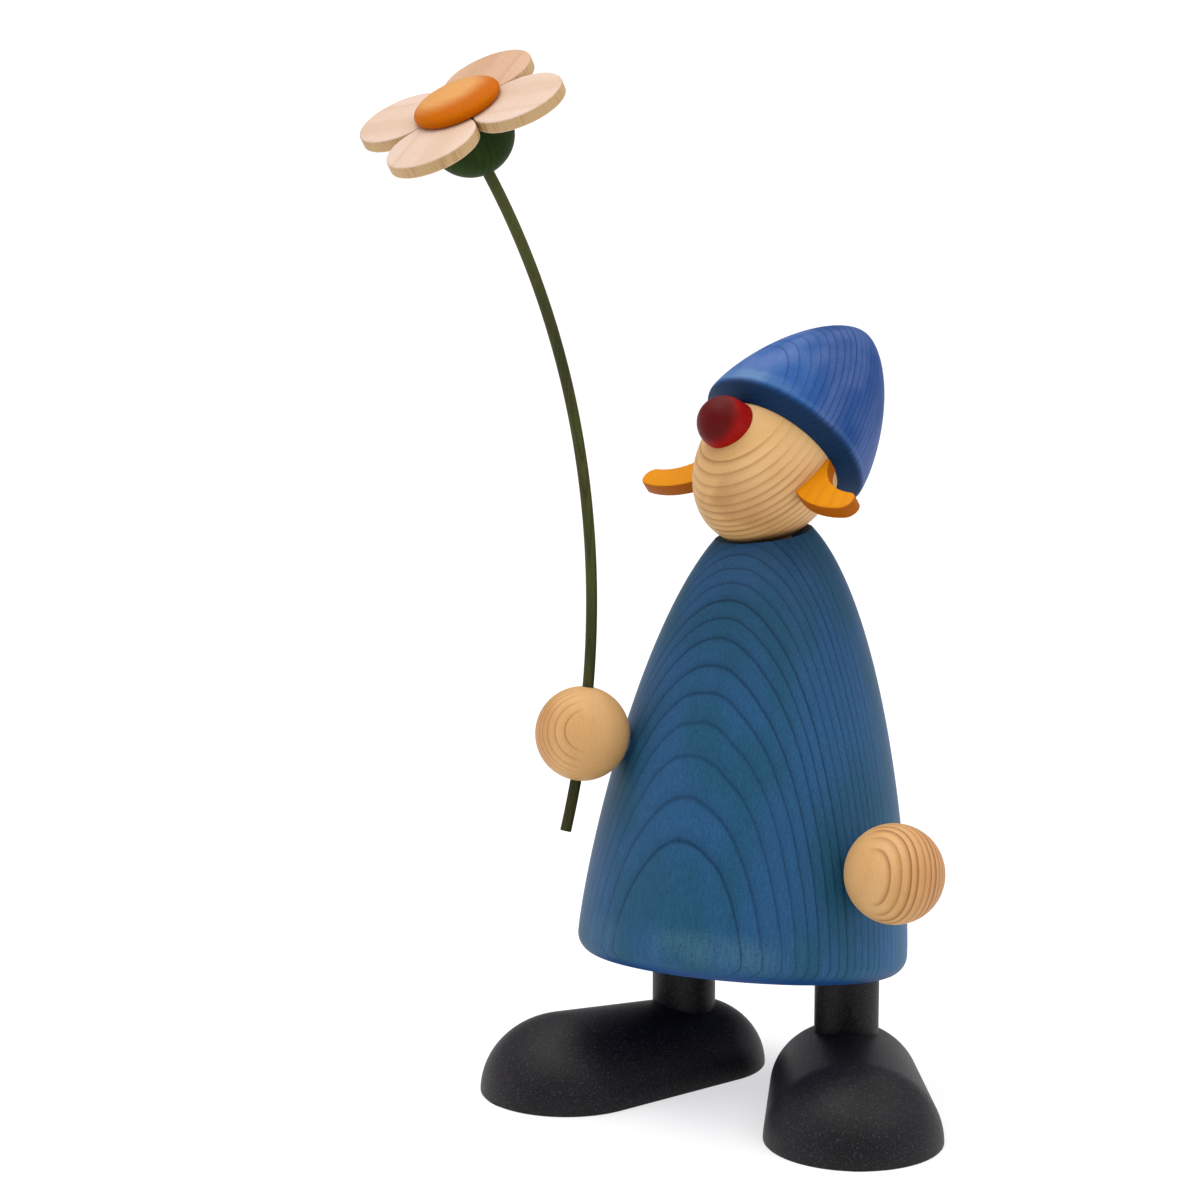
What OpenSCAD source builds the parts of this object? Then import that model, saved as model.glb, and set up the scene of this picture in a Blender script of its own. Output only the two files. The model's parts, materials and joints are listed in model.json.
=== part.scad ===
// A turned-wood gnome that stands in black shoes and holds out a flower on a bent stem.
// Millimetres. +Z is up, the figure faces -Y, and its right hand is on the -X side.
// The origin is on the ground, under the middle of the figure's bounding box.

/* [Coat] */
// Largest radius of the coat, at the top of its hem
coat_r = 34.1; // [31:0.1:38]
// Height of the coat along its own axis, before its top is dished for the head
coat_len = 94.5; // [88:0.5:104]
// Radius of the rounded hem
hem_round = 4.1; // [2:0.1:6]
// How early the side falls in: a larger power keeps it full for longer
coat_fall = 1.38; // [1.2:0.02:1.7]
// How full the dome at the top is: a larger power is fuller
coat_swell = 2.04; // [1.8:0.02:2.4]
// How far the coat leans back, in degrees
coat_lean = 9.4; // [4:0.2:13]
// How far the coat leans to the figure's right, in degrees
coat_sway = 0.45; // [0:0.05:2]
// How far the middle of the coat's base lies in front of the legs
coat_forward = 11.3; // [7:0.1:14]
// Height of the middle of the coat's base above the ground
coat_base_h = 28.3; // [24:0.1:36]

/* [Legs and shoes] */
// Distance between the axes of the legs
leg_spacing = 38; // [35:0.2:42]
// Radius of a leg
leg_r = 6.7; // [5:0.1:8]
// Depth of a leg's socket in the coat
leg_in_coat = 15; // [8:0.5:22]
// Thickness of the shoe under the leg
shoe_floor = 3; // [2:0.1:5]
// Radius of the shoe's round toe
toe_r = 18.1; // [15:0.1:20]
// Height of the toe
toe_h = 16; // [13:0.1:20]
// Distance from the leg's axis forward to the centre of the toe
toe_reach = 30; // [26:0.2:36]
// Radius of the shoe's round heel
heel_r = 15.7; // [12:0.1:17]
// Distance from the leg's axis back to the centre of the heel
heel_back = 2.2; // [0:0.1:5]
// How far each shoe turns out, in degrees
shoe_splay = 27.3; // [20:0.5:34]

/* [Head] */
// Radius of the egg-shaped head
head_r = 14.6; // [13:0.1:16]
// Half the length of the head along its own axis
head_half = 19.4; // [17:0.1:21]
// Height of the head's centre above the uncut top of the coat, along the coat's axis
head_rise = 9.3; // [7:0.1:12]
// How far the head's centre lies in front of the neck
head_forward = 1.9; // [0:0.1:5]
// How far the head tilts back from the coat's axis, in degrees
head_tilt = 39.8; // [32:0.2:46]
// How far the head is turned to the figure's right, in degrees
head_turn = 22.5; // [0:0.5:40]
// How far the nose is turned back to the left about the head's own axis, in degrees
nose_spin = 2.5; // [-5:0.5:10]
// How far the pair of ears is turned back to the left about the head's own axis, in degrees
ear_spin = 4; // [-5:0.5:10]
// How far the head can turn each way from there, in degrees
head_swing = 20; // [10:1:30]

/* [Nose] */
// Radius of the nose
nose_r = 5.5; // [4.5:0.1:6.5]
// Distance from the head's axis to the tip of the nose
nose_reach = 22; // [20:0.1:26]
// Distance from the head's axis to the root of the nose, in its hole
nose_root = 8; // [6.5:0.1:10]
// Height above the head's centre at which the nose's axis meets the head's axis
nose_up = 2.4; // [0:0.1:4]
// How far the nose points down, in degrees
nose_droop = 22.2; // [14:0.2:28]

/* [Ears] */
// Radius of an ear's inner edge
ear_inner = 12.6; // [11.5:0.1:13.5]
// Radius of an ear's outer edge
ear_outer = 19.6; // [18.5:0.1:21]
// Thickness of an ear
ear_thick = 2.9; // [2:0.1:3.5]
// Distance from the side of the head out to the inner edge's centre
ear_out = 13.3; // [12.5:0.1:14]
// Height of the inner edge's centre above the head's centre
ear_up = 6.5; // [5.5:0.1:6.8]
// How far the outer edge's centre lies nearer to the head than the inner edge's
ear_taper_in = 2.9; // [2:0.1:3.5]
// How far the outer edge's centre lies above the inner edge's
ear_taper_up = 2; // [1:0.1:2.5]
// Distance from the front of the ear back to the head's middle
ear_ahead = 0.1; // [0:0.1:1]
// How far the ears lean back from the head's middle plane, in degrees
ear_lean = 4.9; // [0:0.1:12]
// How far the pair of ears is set over to the figure's right
ear_aside = 0.7; // [0:0.1:1.2]
// Angle round the inner edge at which the ear's upper edge enters the head, in degrees
ear_from = 200; // [199:1:210]
// Angle round the inner edge at the ear's round tip, in degrees
ear_to = 270.5; // [262:0.5:280]
// Depth of the ear's slot in the side of the head
ear_in_head = 4.6; // [3:0.1:6]

/* [Cap] */
// Radius of the cap at its brim
cap_r = 18.8; // [17.5:0.1:21]
// Length of the cap from brim to tip
cap_len = 31.1; // [29:0.1:38]
// Height of the brim's edge above the head's centre
cap_up = 5.7; // [5:0.1:8]
// Height above the head's centre at which the cap's underside meets the head
cap_seat = 2.5; // [1.8:0.1:4]
// Radius of the brim's rounded edge
brim_round = 1.2; // [0.6:0.1:2]
// How early the cap's side falls in
cap_fall = 1.45; // [1.3:0.01:1.8]
// How full the cap is towards its tip
cap_swell = 1.62; // [1.4:0.01:2]

/* [Hands] */
// Radius of the right hand
right_hand_r = 9.65; // [8:0.05:11]
// Radius of the left hand
left_hand_r = 10; // [8:0.1:12]
// Height on the coat at which the right hand touches it
right_hand_up = 43.5; // [35:0.1:55]
// How far in front of the figure's right side that is, in degrees
right_hand_front = 45.3; // [35:0.1:55]
// Height on the coat at which the left hand touches it
left_hand_up = 22.4; // [18:0.2:40]
// How far in front of the figure's left side that is, in degrees
left_hand_front = 21.2; // [10:0.5:30]
// How deep a hand is bedded in the coat
hand_bed = 0.2; // [0:0.1:1]

/* [Stem] */
// Radius of the stem
stem_r = 1.15; // [1:0.05:1.8]
// Radius of the stem's bend
stem_bend = 155.2; // [145:0.1:200]
// Length of the stem above the middle of the hand, along its bend
stem_above = 119.7; // [100:0.1:135]
// Length of the stem below the middle of the hand, along its bend
stem_below = 20.2; // [14:0.1:26]
// How far the stem leans back where it passes through the hand, in degrees
stem_lean = 10; // [4:0.2:14]
// How far the plane of the bend turns to the figure's right, in degrees
stem_side = 19.4; // [10:0.1:30]
// How far the stem's hole lies to the right of the hand's centre
stem_aside = 0.2; // [0:0.1:1.5]
// Depth of the stem's socket in the calyx
stem_in_calyx = 5.8; // [4:0.2:7]

/* [Flower] */
// How far the flower's axis leans forward, in degrees
flower_lean = 30.2; // [24:0.2:40]
// How far the flower's axis turns to the figure's right, in degrees
flower_side = 17.4; // [10:0.2:30]
// How far the first petal is turned round the flower's axis, in degrees
flower_roll = 18; // [0:0.5:45]
// Radius of the calyx at its widest
calyx_r = 8.3; // [7.5:0.1:10]
// Depth of the calyx below its widest
calyx_depth = 7.7; // [7:0.1:10]
// Height of the calyx above its widest, up to the flat under the petals
calyx_crown = 3.95; // [3.5:0.05:5]
// Radius of a petal
petal_r = 9.1; // [8.5:0.05:11]
// Thickness of a petal
petal_thick = 2.5; // [2:0.1:4]
// Radius of the button at its widest
button_r = 8.75; // [8:0.05:10]
// Radius of the button where it sits on the petals
button_foot = 7.8; // [7:0.1:8.6]
// Height of the button's widest part above the petals
button_waist = 1.15; // [0.8:0.05:1.6]
// Height of the whole button
button_h = 3.55; // [3.2:0.05:5]

/* [Dowels] */
// Radius of the neck dowel
neck_r = 4; // [3:0.1:5]
// How far the neck dowel reaches down from the uncut top of the coat
neck_in_coat = 24; // [18:0.5:32]
// How far short of the head's centre the neck dowel ends
neck_short = 1; // [0:0.1:3]
// Radius of a hand's dowel
hand_dowel_r = 2.5; // [2:0.1:3]
// Depth of a hand's dowel in the coat
hand_dowel_in_coat = 8; // [5:0.5:12]
// Depth of a hand's dowel in the hand
hand_dowel_in_hand = 5; // [3:0.1:5.5]
// Radius of the cap's dowel
cap_dowel_r = 3; // [2:0.1:4]
// Depth of the cap's dowel in the head
cap_dowel_in_head = 8; // [5:0.5:9]
// Depth of the cap's dowel in the cap
cap_dowel_in_cap = 7; // [4:0.5:9]
// Radius of the pin through the flower
flower_pin_r = 2.5; // [1.5:0.1:3]
// Depth of that pin in the calyx
pin_in_calyx = 3.8; // [3:0.1:4.5]
// Depth of that pin in the button
pin_in_button = 2; // [1:0.1:2.5]

/* [Fits] */
// Radial clearance of a dowel, leg, peg or plate in its hole
fit = 0.05; // [0.02:0.01:0.1]
// Spare depth at the end of a blind hole
spare = 0.5; // [0.2:0.1:1]
// Gap between pieces that touch on curved faces
touch = 0.15; // [0.1:0.05:0.3]
// Gap between the head and the dish it turns in
turn_gap = 0.4; // [0.3:0.05:0.8]
// Gap between the stem and its hole through the hand, at the tightest place
slide_gap = 0.1; // [0.05:0.01:0.2]
// Gap between neighbouring petals
petal_gap = 0.2; // [0.1:0.05:0.5]

/* [Hidden] */
$fn = 64;
// Points along a long curve, and along a small rounding
curve_steps = 30;
round_steps = 6;
// Extra length of a cutter past the face that it cuts
past = 1;

blue_stain = [0.13, 0.38, 0.68];
raw_wood = [0.87, 0.70, 0.48];
black_stain = [0.08, 0.08, 0.09];
petal_wood = [0.93, 0.80, 0.68];

// Turning a point about X, about Y and about Z
function turned_x(p, a) = [p[0], p[1] * cos(a) - p[2] * sin(a), p[1] * sin(a) + p[2] * cos(a)];
function turned_y(p, a) = [p[0] * cos(a) + p[2] * sin(a), p[1], p[2] * cos(a) - p[0] * sin(a)];
function turned_z(p, a) = [p[0] * cos(a) - p[1] * sin(a), p[0] * sin(a) + p[1] * cos(a), p[2]];

// The coat's side: its radius at a height along its axis, and how much it falls in there
function coat_radius(t) =
    let (s = max(0, (t - hem_round) / (coat_len - hem_round)))
    coat_r * pow(max(0, 1 - pow(s, coat_fall)), 1 / coat_swell);
function coat_slope(t) = atan(coat_radius(t - 0.5) - coat_radius(t + 0.5));
function from_coat(p) = [0, -coat_forward, coat_base_h] + turned_y(turned_x(p, -coat_lean), -coat_sway);

coat_outline = concat(
    [[0, 0]],
    [for (i = [0:round_steps]) let (a = 90 * i / round_steps)
        [coat_r - hem_round + hem_round * sin(a), hem_round - hem_round * cos(a)]],
    [for (i = [1:curve_steps]) let (t = hem_round + (coat_len - hem_round) * sin(90 * i / curve_steps))
        [i == curve_steps ? 0 : coat_radius(t), t]]);

// The legs stand upright, and the coat's underside slopes down towards the back
leg_x = leg_spacing / 2;
leg_top = coat_base_h - coat_forward * tan(coat_lean) + leg_in_coat;

// The shoe is round about its own length, with the toe and the heel joined by a tangent cone
shoe_taper = asin((toe_r - heel_r) / (toe_reach + heel_back));
shoe_outline = concat(
    [for (i = [0:curve_steps]) let (a = 180 - (90 - shoe_taper) * i / curve_steps)
        [heel_r * sin(a), heel_r * cos(a) - heel_back]],
    [for (i = [0:curve_steps]) let (a = (90 + shoe_taper) * (1 - i / curve_steps))
        [toe_r * sin(a), toe_r * cos(a) + toe_reach]]);

// The head's place along the coat's axis, and the neck dowel's ends
head_along = coat_len + head_rise;
neck_foot = coat_len - neck_in_coat;
neck_top = head_along - neck_short;
head_outline = [for (i = [0:curve_steps]) let (a = 180 * i / curve_steps - 90)
    [head_r * cos(a), head_half * sin(a)]];
// The dish in the coat's top is round, and clears the head's skin wherever it comes near over its swing
dish_lead = 4.9;
dish_rise = 1.5;
dish_centre = [0, -head_forward - dish_lead, head_along + dish_rise];
function head_skin(a, b, swing) =
    turned_z(turned_x([head_r * cos(a) * cos(b), head_r * cos(a) * sin(b), head_half * sin(a)], -head_tilt)
             + [0, -head_forward, head_along], swing);
function near_coat(p) = p[2] < coat_len && norm([p[0], p[1]]) < coat_radius(p[2] - 1) + 1;
dish_r = turn_gap + max([
    for (a = [-90:5:90], b = [0:6:354], swing = [-head_swing, 0, head_swing])
        let (p = head_skin(a, b, swing))
        near_coat(p) ? norm(p - dish_centre) : 0]);

nose_outline = concat(
    [[0, nose_root], [nose_r, nose_root]],
    [for (i = [0:2 * round_steps]) let (a = 90 * i / (2 * round_steps))
        [nose_r * cos(a), nose_reach - nose_r + nose_r * sin(a)]]);

// An ear narrows from its root in the head, between two round edges, to a round tip that runs into both
ear_root_x = head_r - ear_in_head;
ear_inner_at = [head_r + ear_out, ear_up];
ear_outer_at = ear_inner_at + [-ear_taper_in, ear_taper_up];
function heading(a) = [cos(a), sin(a)];
function arc_point(at, r, from, to, share) = at + r * heading(from + (to - from) * share);
// The tip's radius is the one with which its circle touches both edges
ear_apart = ear_inner_at - ear_outer_at;
ear_apart_down = ear_apart * heading(ear_to);
ear_tip_r = (pow(ear_outer, 2) - pow(ear_inner, 2) - ear_apart * ear_apart - 2 * ear_inner * ear_apart_down)
    / (2 * (ear_outer + ear_inner + ear_apart_down));
ear_tip_at = ear_inner_at + (ear_inner + ear_tip_r) * heading(ear_to);
ear_tip_from = 360 + atan2(ear_tip_at[1] - ear_outer_at[1], ear_tip_at[0] - ear_outer_at[0]);
// Grown by a clearance, the outline is that of the ear's slot
function ear_outline(grow) =
    let (root = ear_root_x - grow,
         high = ear_up + ear_inner * sin(ear_from) + grow,
         low_angle = 180 + acos((ear_outer_at[0] - root) / (ear_outer + grow)),
         high_angle = 180 + asin((ear_up - high) / (ear_inner - grow)))
    concat(
        [for (i = [0:curve_steps])
            arc_point(ear_outer_at, ear_outer + grow, low_angle, ear_tip_from, i / curve_steps)],
        [for (i = [1:2 * round_steps - 1])
            arc_point(ear_tip_at, ear_tip_r + grow, ear_tip_from, ear_to + 180, i / (2 * round_steps))],
        [for (i = [0:curve_steps])
            arc_point(ear_inner_at, ear_inner - grow, ear_to, high_angle, i / curve_steps)],
        [[root, high]]);

// The cap's side, its rounded brim, its underside and the hollow that fits the head
cap_inner_r = head_r + touch;
cap_inner_half = head_half + touch;
cap_seat_angle = asin(cap_seat / cap_inner_half);
cap_under = 90 - atan((cap_up - cap_seat) / (cap_r - cap_inner_r));
function cap_radius(u) = cap_r * pow(max(0, 1 - pow(u, cap_fall)), 1 / cap_swell);
cap_outline = concat(
    [for (i = [0:curve_steps]) let (u = i == curve_steps ? 0 : cos(90 * i / curve_steps))
        [i == 0 ? 0 : cap_radius(u), cap_up + cap_len * u]],
    [for (i = [1:round_steps]) let (a = -cap_under * i / round_steps)
        [cap_r - brim_round + brim_round * cos(a), cap_up + brim_round * sin(a)]],
    [for (i = [0:curve_steps]) let (a = cap_seat_angle + (90 - cap_seat_angle) * i / curve_steps)
        [cap_inner_r * cos(a), cap_inner_half * sin(a)]]);

// Where a hand touches the coat: the turn round the coat's axis, and the hand's centre
right_hand_turn = 180 + right_hand_front;
left_hand_turn = -left_hand_front;
function hand_centre(up, turn, r) =
    let (slope = coat_slope(up), reach = r - hand_bed)
    from_coat(turned_z([coat_radius(up) + reach * cos(slope), 0, up + reach * sin(slope)], turn));
right_hand_at = hand_centre(right_hand_up, right_hand_turn, right_hand_r);
left_hand_at = hand_centre(left_hand_up, left_hand_turn, left_hand_r);

// The stem's bend: angles are measured at its centre, from the level of that centre upwards
stem_ahead = [-sin(stem_side), -cos(stem_side), 0];
function on_bend(a) = stem_bend * (-cos(a) * stem_ahead + [0, 0, sin(a)]);
stem_across = [cos(stem_side), -sin(stem_side), 0];
stem_centre = right_hand_at - stem_aside * stem_across - on_bend(-stem_lean);
function arc_angle(length) = length / stem_bend * 180 / PI;
stem_start = -stem_lean - arc_angle(stem_below);
stem_end = -stem_lean + arc_angle(stem_above);
stem_tip = stem_end + arc_angle(stem_in_calyx);
// The bend strays from a straight hole through the hand by this much at the hand's skin
stem_stray = stem_bend - sqrt(stem_bend * stem_bend - right_hand_r * right_hand_r);
stem_hole_r = stem_r + stem_stray / 2 + slide_gap;

// The flower's levels along its own axis, from the foot of the calyx
flower_at = stem_centre + on_bend(stem_end);
calyx_h = calyx_depth + calyx_crown;
petal_top = calyx_h + petal_thick;
petal_out = (petal_r + petal_gap / 2) * sqrt(2);
function from_flower(p) = flower_at + turned_z(turned_x(p, flower_lean), -flower_side);
function petal_turn(i) = flower_roll + 90 * i;

calyx_top = asin(calyx_crown / calyx_depth);
calyx_outline = concat(
    [[0, calyx_h]],
    [for (i = [0:curve_steps]) let (a = calyx_top - (90 + calyx_top) * i / curve_steps)
        [calyx_r * cos(a), calyx_depth + calyx_depth * sin(a)]]);
button_outline = concat(
    [[0, 0]],
    [for (i = [0:round_steps]) let (a = 90 * i / round_steps)
        [button_foot + (button_r - button_foot) * sin(a), button_waist - button_waist * cos(a)]],
    [for (i = [1:curve_steps]) let (a = 90 * i / curve_steps)
        [button_r * cos(a), button_waist + (button_h - button_waist) * sin(a)]]);

// The figure's bounding box: the flower on the right, a hand or a toe on the left, the cap behind,
// petals or toes in front
flower_normal = from_flower([0, 0, 1]) - flower_at;
petal_edges = [for (i = [0:3], z = [calyx_h, petal_top])
    from_flower(turned_z([petal_out, 0, z], petal_turn(i)))];
function petal_low(k) = min([for (p = petal_edges) p[k]]) - petal_r * sqrt(1 - pow(flower_normal[k], 2));
function from_head(p) =
    from_coat(turned_z(turned_x(p, -head_tilt) + [0, -head_forward, head_along], -head_turn));
cap_axis = from_head([0, 0, 1]) - from_head([0, 0, 0]);
cap_rear = max([for (p = cap_outline)
    from_head([0, 0, p[1]])[1] + p[0] * sqrt(1 - pow(cap_axis[1], 2))]);
toe_front = -toe_reach * cos(shoe_splay) - toe_r;
toe_side = leg_spacing / 2 + toe_reach * sin(shoe_splay) + toe_r;
box_low = [petal_low(0), min(petal_low(1), toe_front)];
box_high = [max(left_hand_at[0] + left_hand_r, toe_side), cap_rear];
ground_place = [-(box_low[0] + box_high[0]) / 2, -(box_low[1] + box_high[1]) / 2, 0];

// Frames that the pieces are drawn in
module at_coat()
    translate([0, -coat_forward, coat_base_h]) rotate([-coat_lean, -coat_sway, 0]) children();
module at_head()
    at_coat() rotate([0, 0, -head_turn]) translate([0, -head_forward, head_along])
        rotate([-head_tilt, 0, 0]) children();
module at_hand(up, turn)
    at_coat() rotate([0, 0, turn]) translate([coat_radius(up), 0, up])
        rotate([0, 90 - coat_slope(up), 0]) children();
module at_stem()
    translate(stem_centre) rotate([90, 0, 90 - stem_side]) children();
module at_flower()
    translate(flower_at) rotate([flower_lean, 0, -flower_side]) children();
module at_leg(side)
    translate([side * leg_x, 0, 0]) children();

// Straight pegs, drawn grown by a clearance where they are used to drill their own holes
module neck_peg(grow, end)
    at_coat() translate([0, 0, neck_foot]) cylinder(r = neck_r + grow, h = neck_top - neck_foot + end);
module hand_peg(up, turn, grow, end)
    at_hand(up, turn) translate([0, 0, -hand_dowel_in_coat - end])
        cylinder(r = hand_dowel_r + grow, h = hand_dowel_in_coat - hand_bed + hand_dowel_in_hand + 2 * end);
module cap_peg(grow, end)
    at_head() translate([0, 0, head_half - cap_dowel_in_head - end])
        cylinder(r = cap_dowel_r + grow, h = cap_dowel_in_head + touch + cap_dowel_in_cap + 2 * end);
module flower_peg(grow, end)
    at_flower() translate([0, 0, calyx_h - pin_in_calyx - end])
        cylinder(r = flower_pin_r + grow, h = pin_in_calyx + petal_thick + pin_in_button + 1.5 * end);
module leg_peg(side, grow)
    at_leg(side) translate([0, 0, shoe_floor]) cylinder(r = leg_r + grow, h = leg_top - shoe_floor);
module stem_rod(grow, end)
    at_stem() rotate([0, 0, stem_start]) rotate_extrude(angle = stem_tip + end - stem_start)
        translate([stem_bend, 0]) circle(r = stem_r + grow);

// Plates and pegs set in the head
module nose_place()
    at_head() rotate([0, 0, nose_spin]) translate([0, 0, nose_up]) rotate([90 + nose_droop, 0, 0]) children();
module ear_plate(side, grow)
    at_head() rotate([0, 0, ear_spin]) translate([-ear_aside, 0, 0]) mirror([side < 0 ? 1 : 0, 0, 0])
        rotate([90 - ear_lean, 0, 0]) translate([0, 0, ear_ahead - ear_thick - grow])
            linear_extrude(ear_thick + 2 * grow) polygon(ear_outline(grow));

module coat() color(blue_stain) difference() {
    at_coat() rotate_extrude() polygon(coat_outline);
    at_coat() rotate([0, 0, -head_turn]) translate(dish_centre) sphere(r = dish_r);
    neck_peg(fit, 0);
    hand_peg(right_hand_up, right_hand_turn, fit, spare);
    hand_peg(left_hand_up, left_hand_turn, fit, spare);
    right_ball(touch);
    left_ball(touch);
    for (side = [-1, 1]) leg_peg(side, fit);
}

module neck_dowel() color(raw_wood) neck_peg(0, 0);

module head() color(raw_wood) difference() {
    at_head() rotate_extrude() polygon(head_outline);
    neck_peg(fit, spare);
    cap_peg(fit, spare);
    nose_place() translate([0, 0, nose_root]) cylinder(r = nose_r + fit, h = head_half);
    for (side = [-1, 1]) ear_plate(side, fit);
}

module nose() color([0.75, 0.10, 0.07]) nose_place() rotate_extrude() polygon(nose_outline);

module ear(side) color([0.80, 0.52, 0.16]) ear_plate(side, 0);
module left_ear() ear(1);
module right_ear() ear(-1);

module cap() color(blue_stain) difference() {
    at_head() rotate_extrude() polygon(cap_outline);
    cap_peg(fit, spare);
}

module cap_dowel() color(raw_wood) cap_peg(0, 0);

module hand_ball(up, turn, r, grow)
    at_hand(up, turn) translate([0, 0, r - hand_bed]) sphere(r = r + grow);
module right_ball(grow) hand_ball(right_hand_up, right_hand_turn, right_hand_r, grow);
module left_ball(grow) hand_ball(left_hand_up, left_hand_turn, left_hand_r, grow);

module right_hand() color(raw_wood) difference() {
    right_ball(0);
    hand_peg(right_hand_up, right_hand_turn, fit, spare);
    at_stem() rotate([0, 0, -stem_lean]) translate([stem_bend - stem_stray / 2, 0, 0]) rotate([90, 0, 0])
        cylinder(r = stem_hole_r, h = 3 * right_hand_r, center = true);
}

module left_hand() color(raw_wood) difference() {
    left_ball(0);
    hand_peg(left_hand_up, left_hand_turn, fit, spare);
}

module right_hand_dowel() color(raw_wood) hand_peg(right_hand_up, right_hand_turn, 0, 0);
module left_hand_dowel() color(raw_wood) hand_peg(left_hand_up, left_hand_turn, 0, 0);

module right_leg() color(black_stain) leg_peg(-1, 0);
module left_leg() color(black_stain) leg_peg(1, 0);

module shoe(side) color(black_stain) difference() {
    at_leg(side) rotate([0, 0, side * shoe_splay]) intersection() {
        scale([1, 1, toe_h / toe_r]) rotate([90, 0, 0]) rotate_extrude() polygon(shoe_outline);
        translate([-toe_r - past, -toe_reach - toe_r - past, 0])
            cube([2 * (toe_r + past), toe_reach + toe_r + heel_back + heel_r + 2 * past, toe_r]);
    }
    leg_peg(side, fit);
}
module right_shoe() shoe(-1);
module left_shoe() shoe(1);

module stem() color([0.30, 0.33, 0.14]) stem_rod(0, 0);

module calyx() color([0.12, 0.22, 0.12]) difference() {
    at_flower() rotate_extrude() polygon(calyx_outline);
    stem_rod(fit, arc_angle(spare));
    flower_peg(fit, spare);
}

module petal(i) color(petal_wood)
    at_flower() rotate([0, 0, petal_turn(i)]) translate([petal_out, 0, calyx_h])
        cylinder(r = petal_r, h = petal_thick);
module petal_right() petal(0);
module petal_back() petal(1);
module petal_left() petal(2);
module petal_front() petal(3);

module flower_pin() color(raw_wood) flower_peg(0, 0);

module flower_button() color([0.85, 0.45, 0.08]) difference() {
    at_flower() translate([0, 0, petal_top]) rotate_extrude() polygon(button_outline);
    flower_peg(fit, spare);
}

translate(ground_place) {
    coat();
    neck_dowel();
    head();
    nose();
    left_ear();
    right_ear();
    cap();
    cap_dowel();
    right_hand();
    left_hand();
    right_hand_dowel();
    left_hand_dowel();
    right_leg();
    left_leg();
    right_shoe();
    left_shoe();
    stem();
    calyx();
    petal_right();
    petal_back();
    petal_left();
    petal_front();
    flower_pin();
    flower_button();
}
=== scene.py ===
# %% [markdown]
# # A turned-wood gnome that holds out a flower
# The real object is a small figure from the lathe: a blue coat, an egg of bare wood for a head, a blue
# cap, two balls for hands and a flower on a bent stem. Every piece is wood, so the lesson is about two
# things: turning clean shapes with a spin, and growing wood grain from node maths. The imported CAD parts
# come first. They give the frame that everything else is placed in.

# %% Load the imported parts
import json
import math

import bmesh
import bpy
from mathutils import Matrix, Vector


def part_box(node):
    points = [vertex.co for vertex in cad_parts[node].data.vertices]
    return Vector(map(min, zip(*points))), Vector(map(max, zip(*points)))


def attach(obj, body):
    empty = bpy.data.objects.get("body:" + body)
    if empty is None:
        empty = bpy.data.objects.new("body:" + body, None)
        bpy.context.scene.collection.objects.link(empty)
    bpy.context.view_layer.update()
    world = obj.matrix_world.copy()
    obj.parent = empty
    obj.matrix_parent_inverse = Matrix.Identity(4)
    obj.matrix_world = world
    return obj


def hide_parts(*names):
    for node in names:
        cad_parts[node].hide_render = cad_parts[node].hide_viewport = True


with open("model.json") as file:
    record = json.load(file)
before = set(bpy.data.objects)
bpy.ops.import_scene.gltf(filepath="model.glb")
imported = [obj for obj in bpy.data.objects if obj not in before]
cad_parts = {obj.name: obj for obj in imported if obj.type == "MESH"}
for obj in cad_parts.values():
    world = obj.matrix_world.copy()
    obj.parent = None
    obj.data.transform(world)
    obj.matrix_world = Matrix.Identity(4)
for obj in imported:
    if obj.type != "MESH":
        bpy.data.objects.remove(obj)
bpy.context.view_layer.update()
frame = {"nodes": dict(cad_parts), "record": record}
bodies = frame["record"]["behaviour"]["bodies"]
body_of_node = {node: body for body, nodes in bodies.items() for node in nodes}

# %% [markdown]
# Blender counts in metres here, but a figure of this size is easier to think of in millimetres. All
# shapes are drawn in millimetres, in the frame of their own piece, and scaled once when they are put in
# place. A frame is a matrix, so a chain of shifts and turns reads from the ground up to the piece.

# %% Shifts, turns and the ground
MM = 0.001


def moved(x, y, z):
    return Matrix.Translation((x, y, z))


def turned(axis, degrees):
    return Matrix.Rotation(math.radians(degrees), 4, axis)


def middle_of(node):
    low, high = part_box(node)
    return (low + high) / 2 / MM


between_legs = (middle_of("left_leg") + middle_of("right_leg")) / 2
ground = moved(between_legs.x, between_legs.y, 0)
print("the legs stand either side of", [round(x, 2) for x in between_legs])

# %% [markdown]
# The photograph looks at the figure from its left front and a little from above, through a long lens. A
# camera could be aimed at a target, but the measured viewing direction is simpler: the camera's own axes
# are its right, its up and the way back from the object.

# %% The camera
# Angles are in degrees, and the camera's place is in millimetres from the point between the legs.
CAMERA_AZIMUTH = 28.63
CAMERA_RISE = 10.11
CAMERA_FROM_LEGS = Vector((277.9, -581.3, 217.3))
LENS = 95.09
SENSOR_WIDTH = 36

camera_data = bpy.data.cameras.new("camera")
camera_data.lens = LENS
camera_data.sensor_width = SENSOR_WIDTH
camera = bpy.data.objects.new("camera", camera_data)
bpy.context.scene.collection.objects.link(camera)
camera_turn = turned("Z", CAMERA_AZIMUTH) @ turned("X", 90 - CAMERA_RISE)
camera.matrix_world = Matrix.Translation((ground @ CAMERA_FROM_LEGS) * MM) @ camera_turn
bpy.context.scene.camera = camera
print("camera at", [round(x, 3) for x in camera.matrix_world.translation])

# %% [markdown]
# ## Grain from maths
# Wood is a stack of year rings round a pith, cut by the shape of the piece. Nothing is painted on the
# surface: a point's distance from the pith decides which ring it lies in, so arches, ovals and straight
# lines appear by themselves where the lathe cut through the rings. Node trees are hard to read as a list
# of links. A small class wraps one output socket instead, so that sums and products of wires can be
# written as plain Python, and one method adds any other node.

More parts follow.
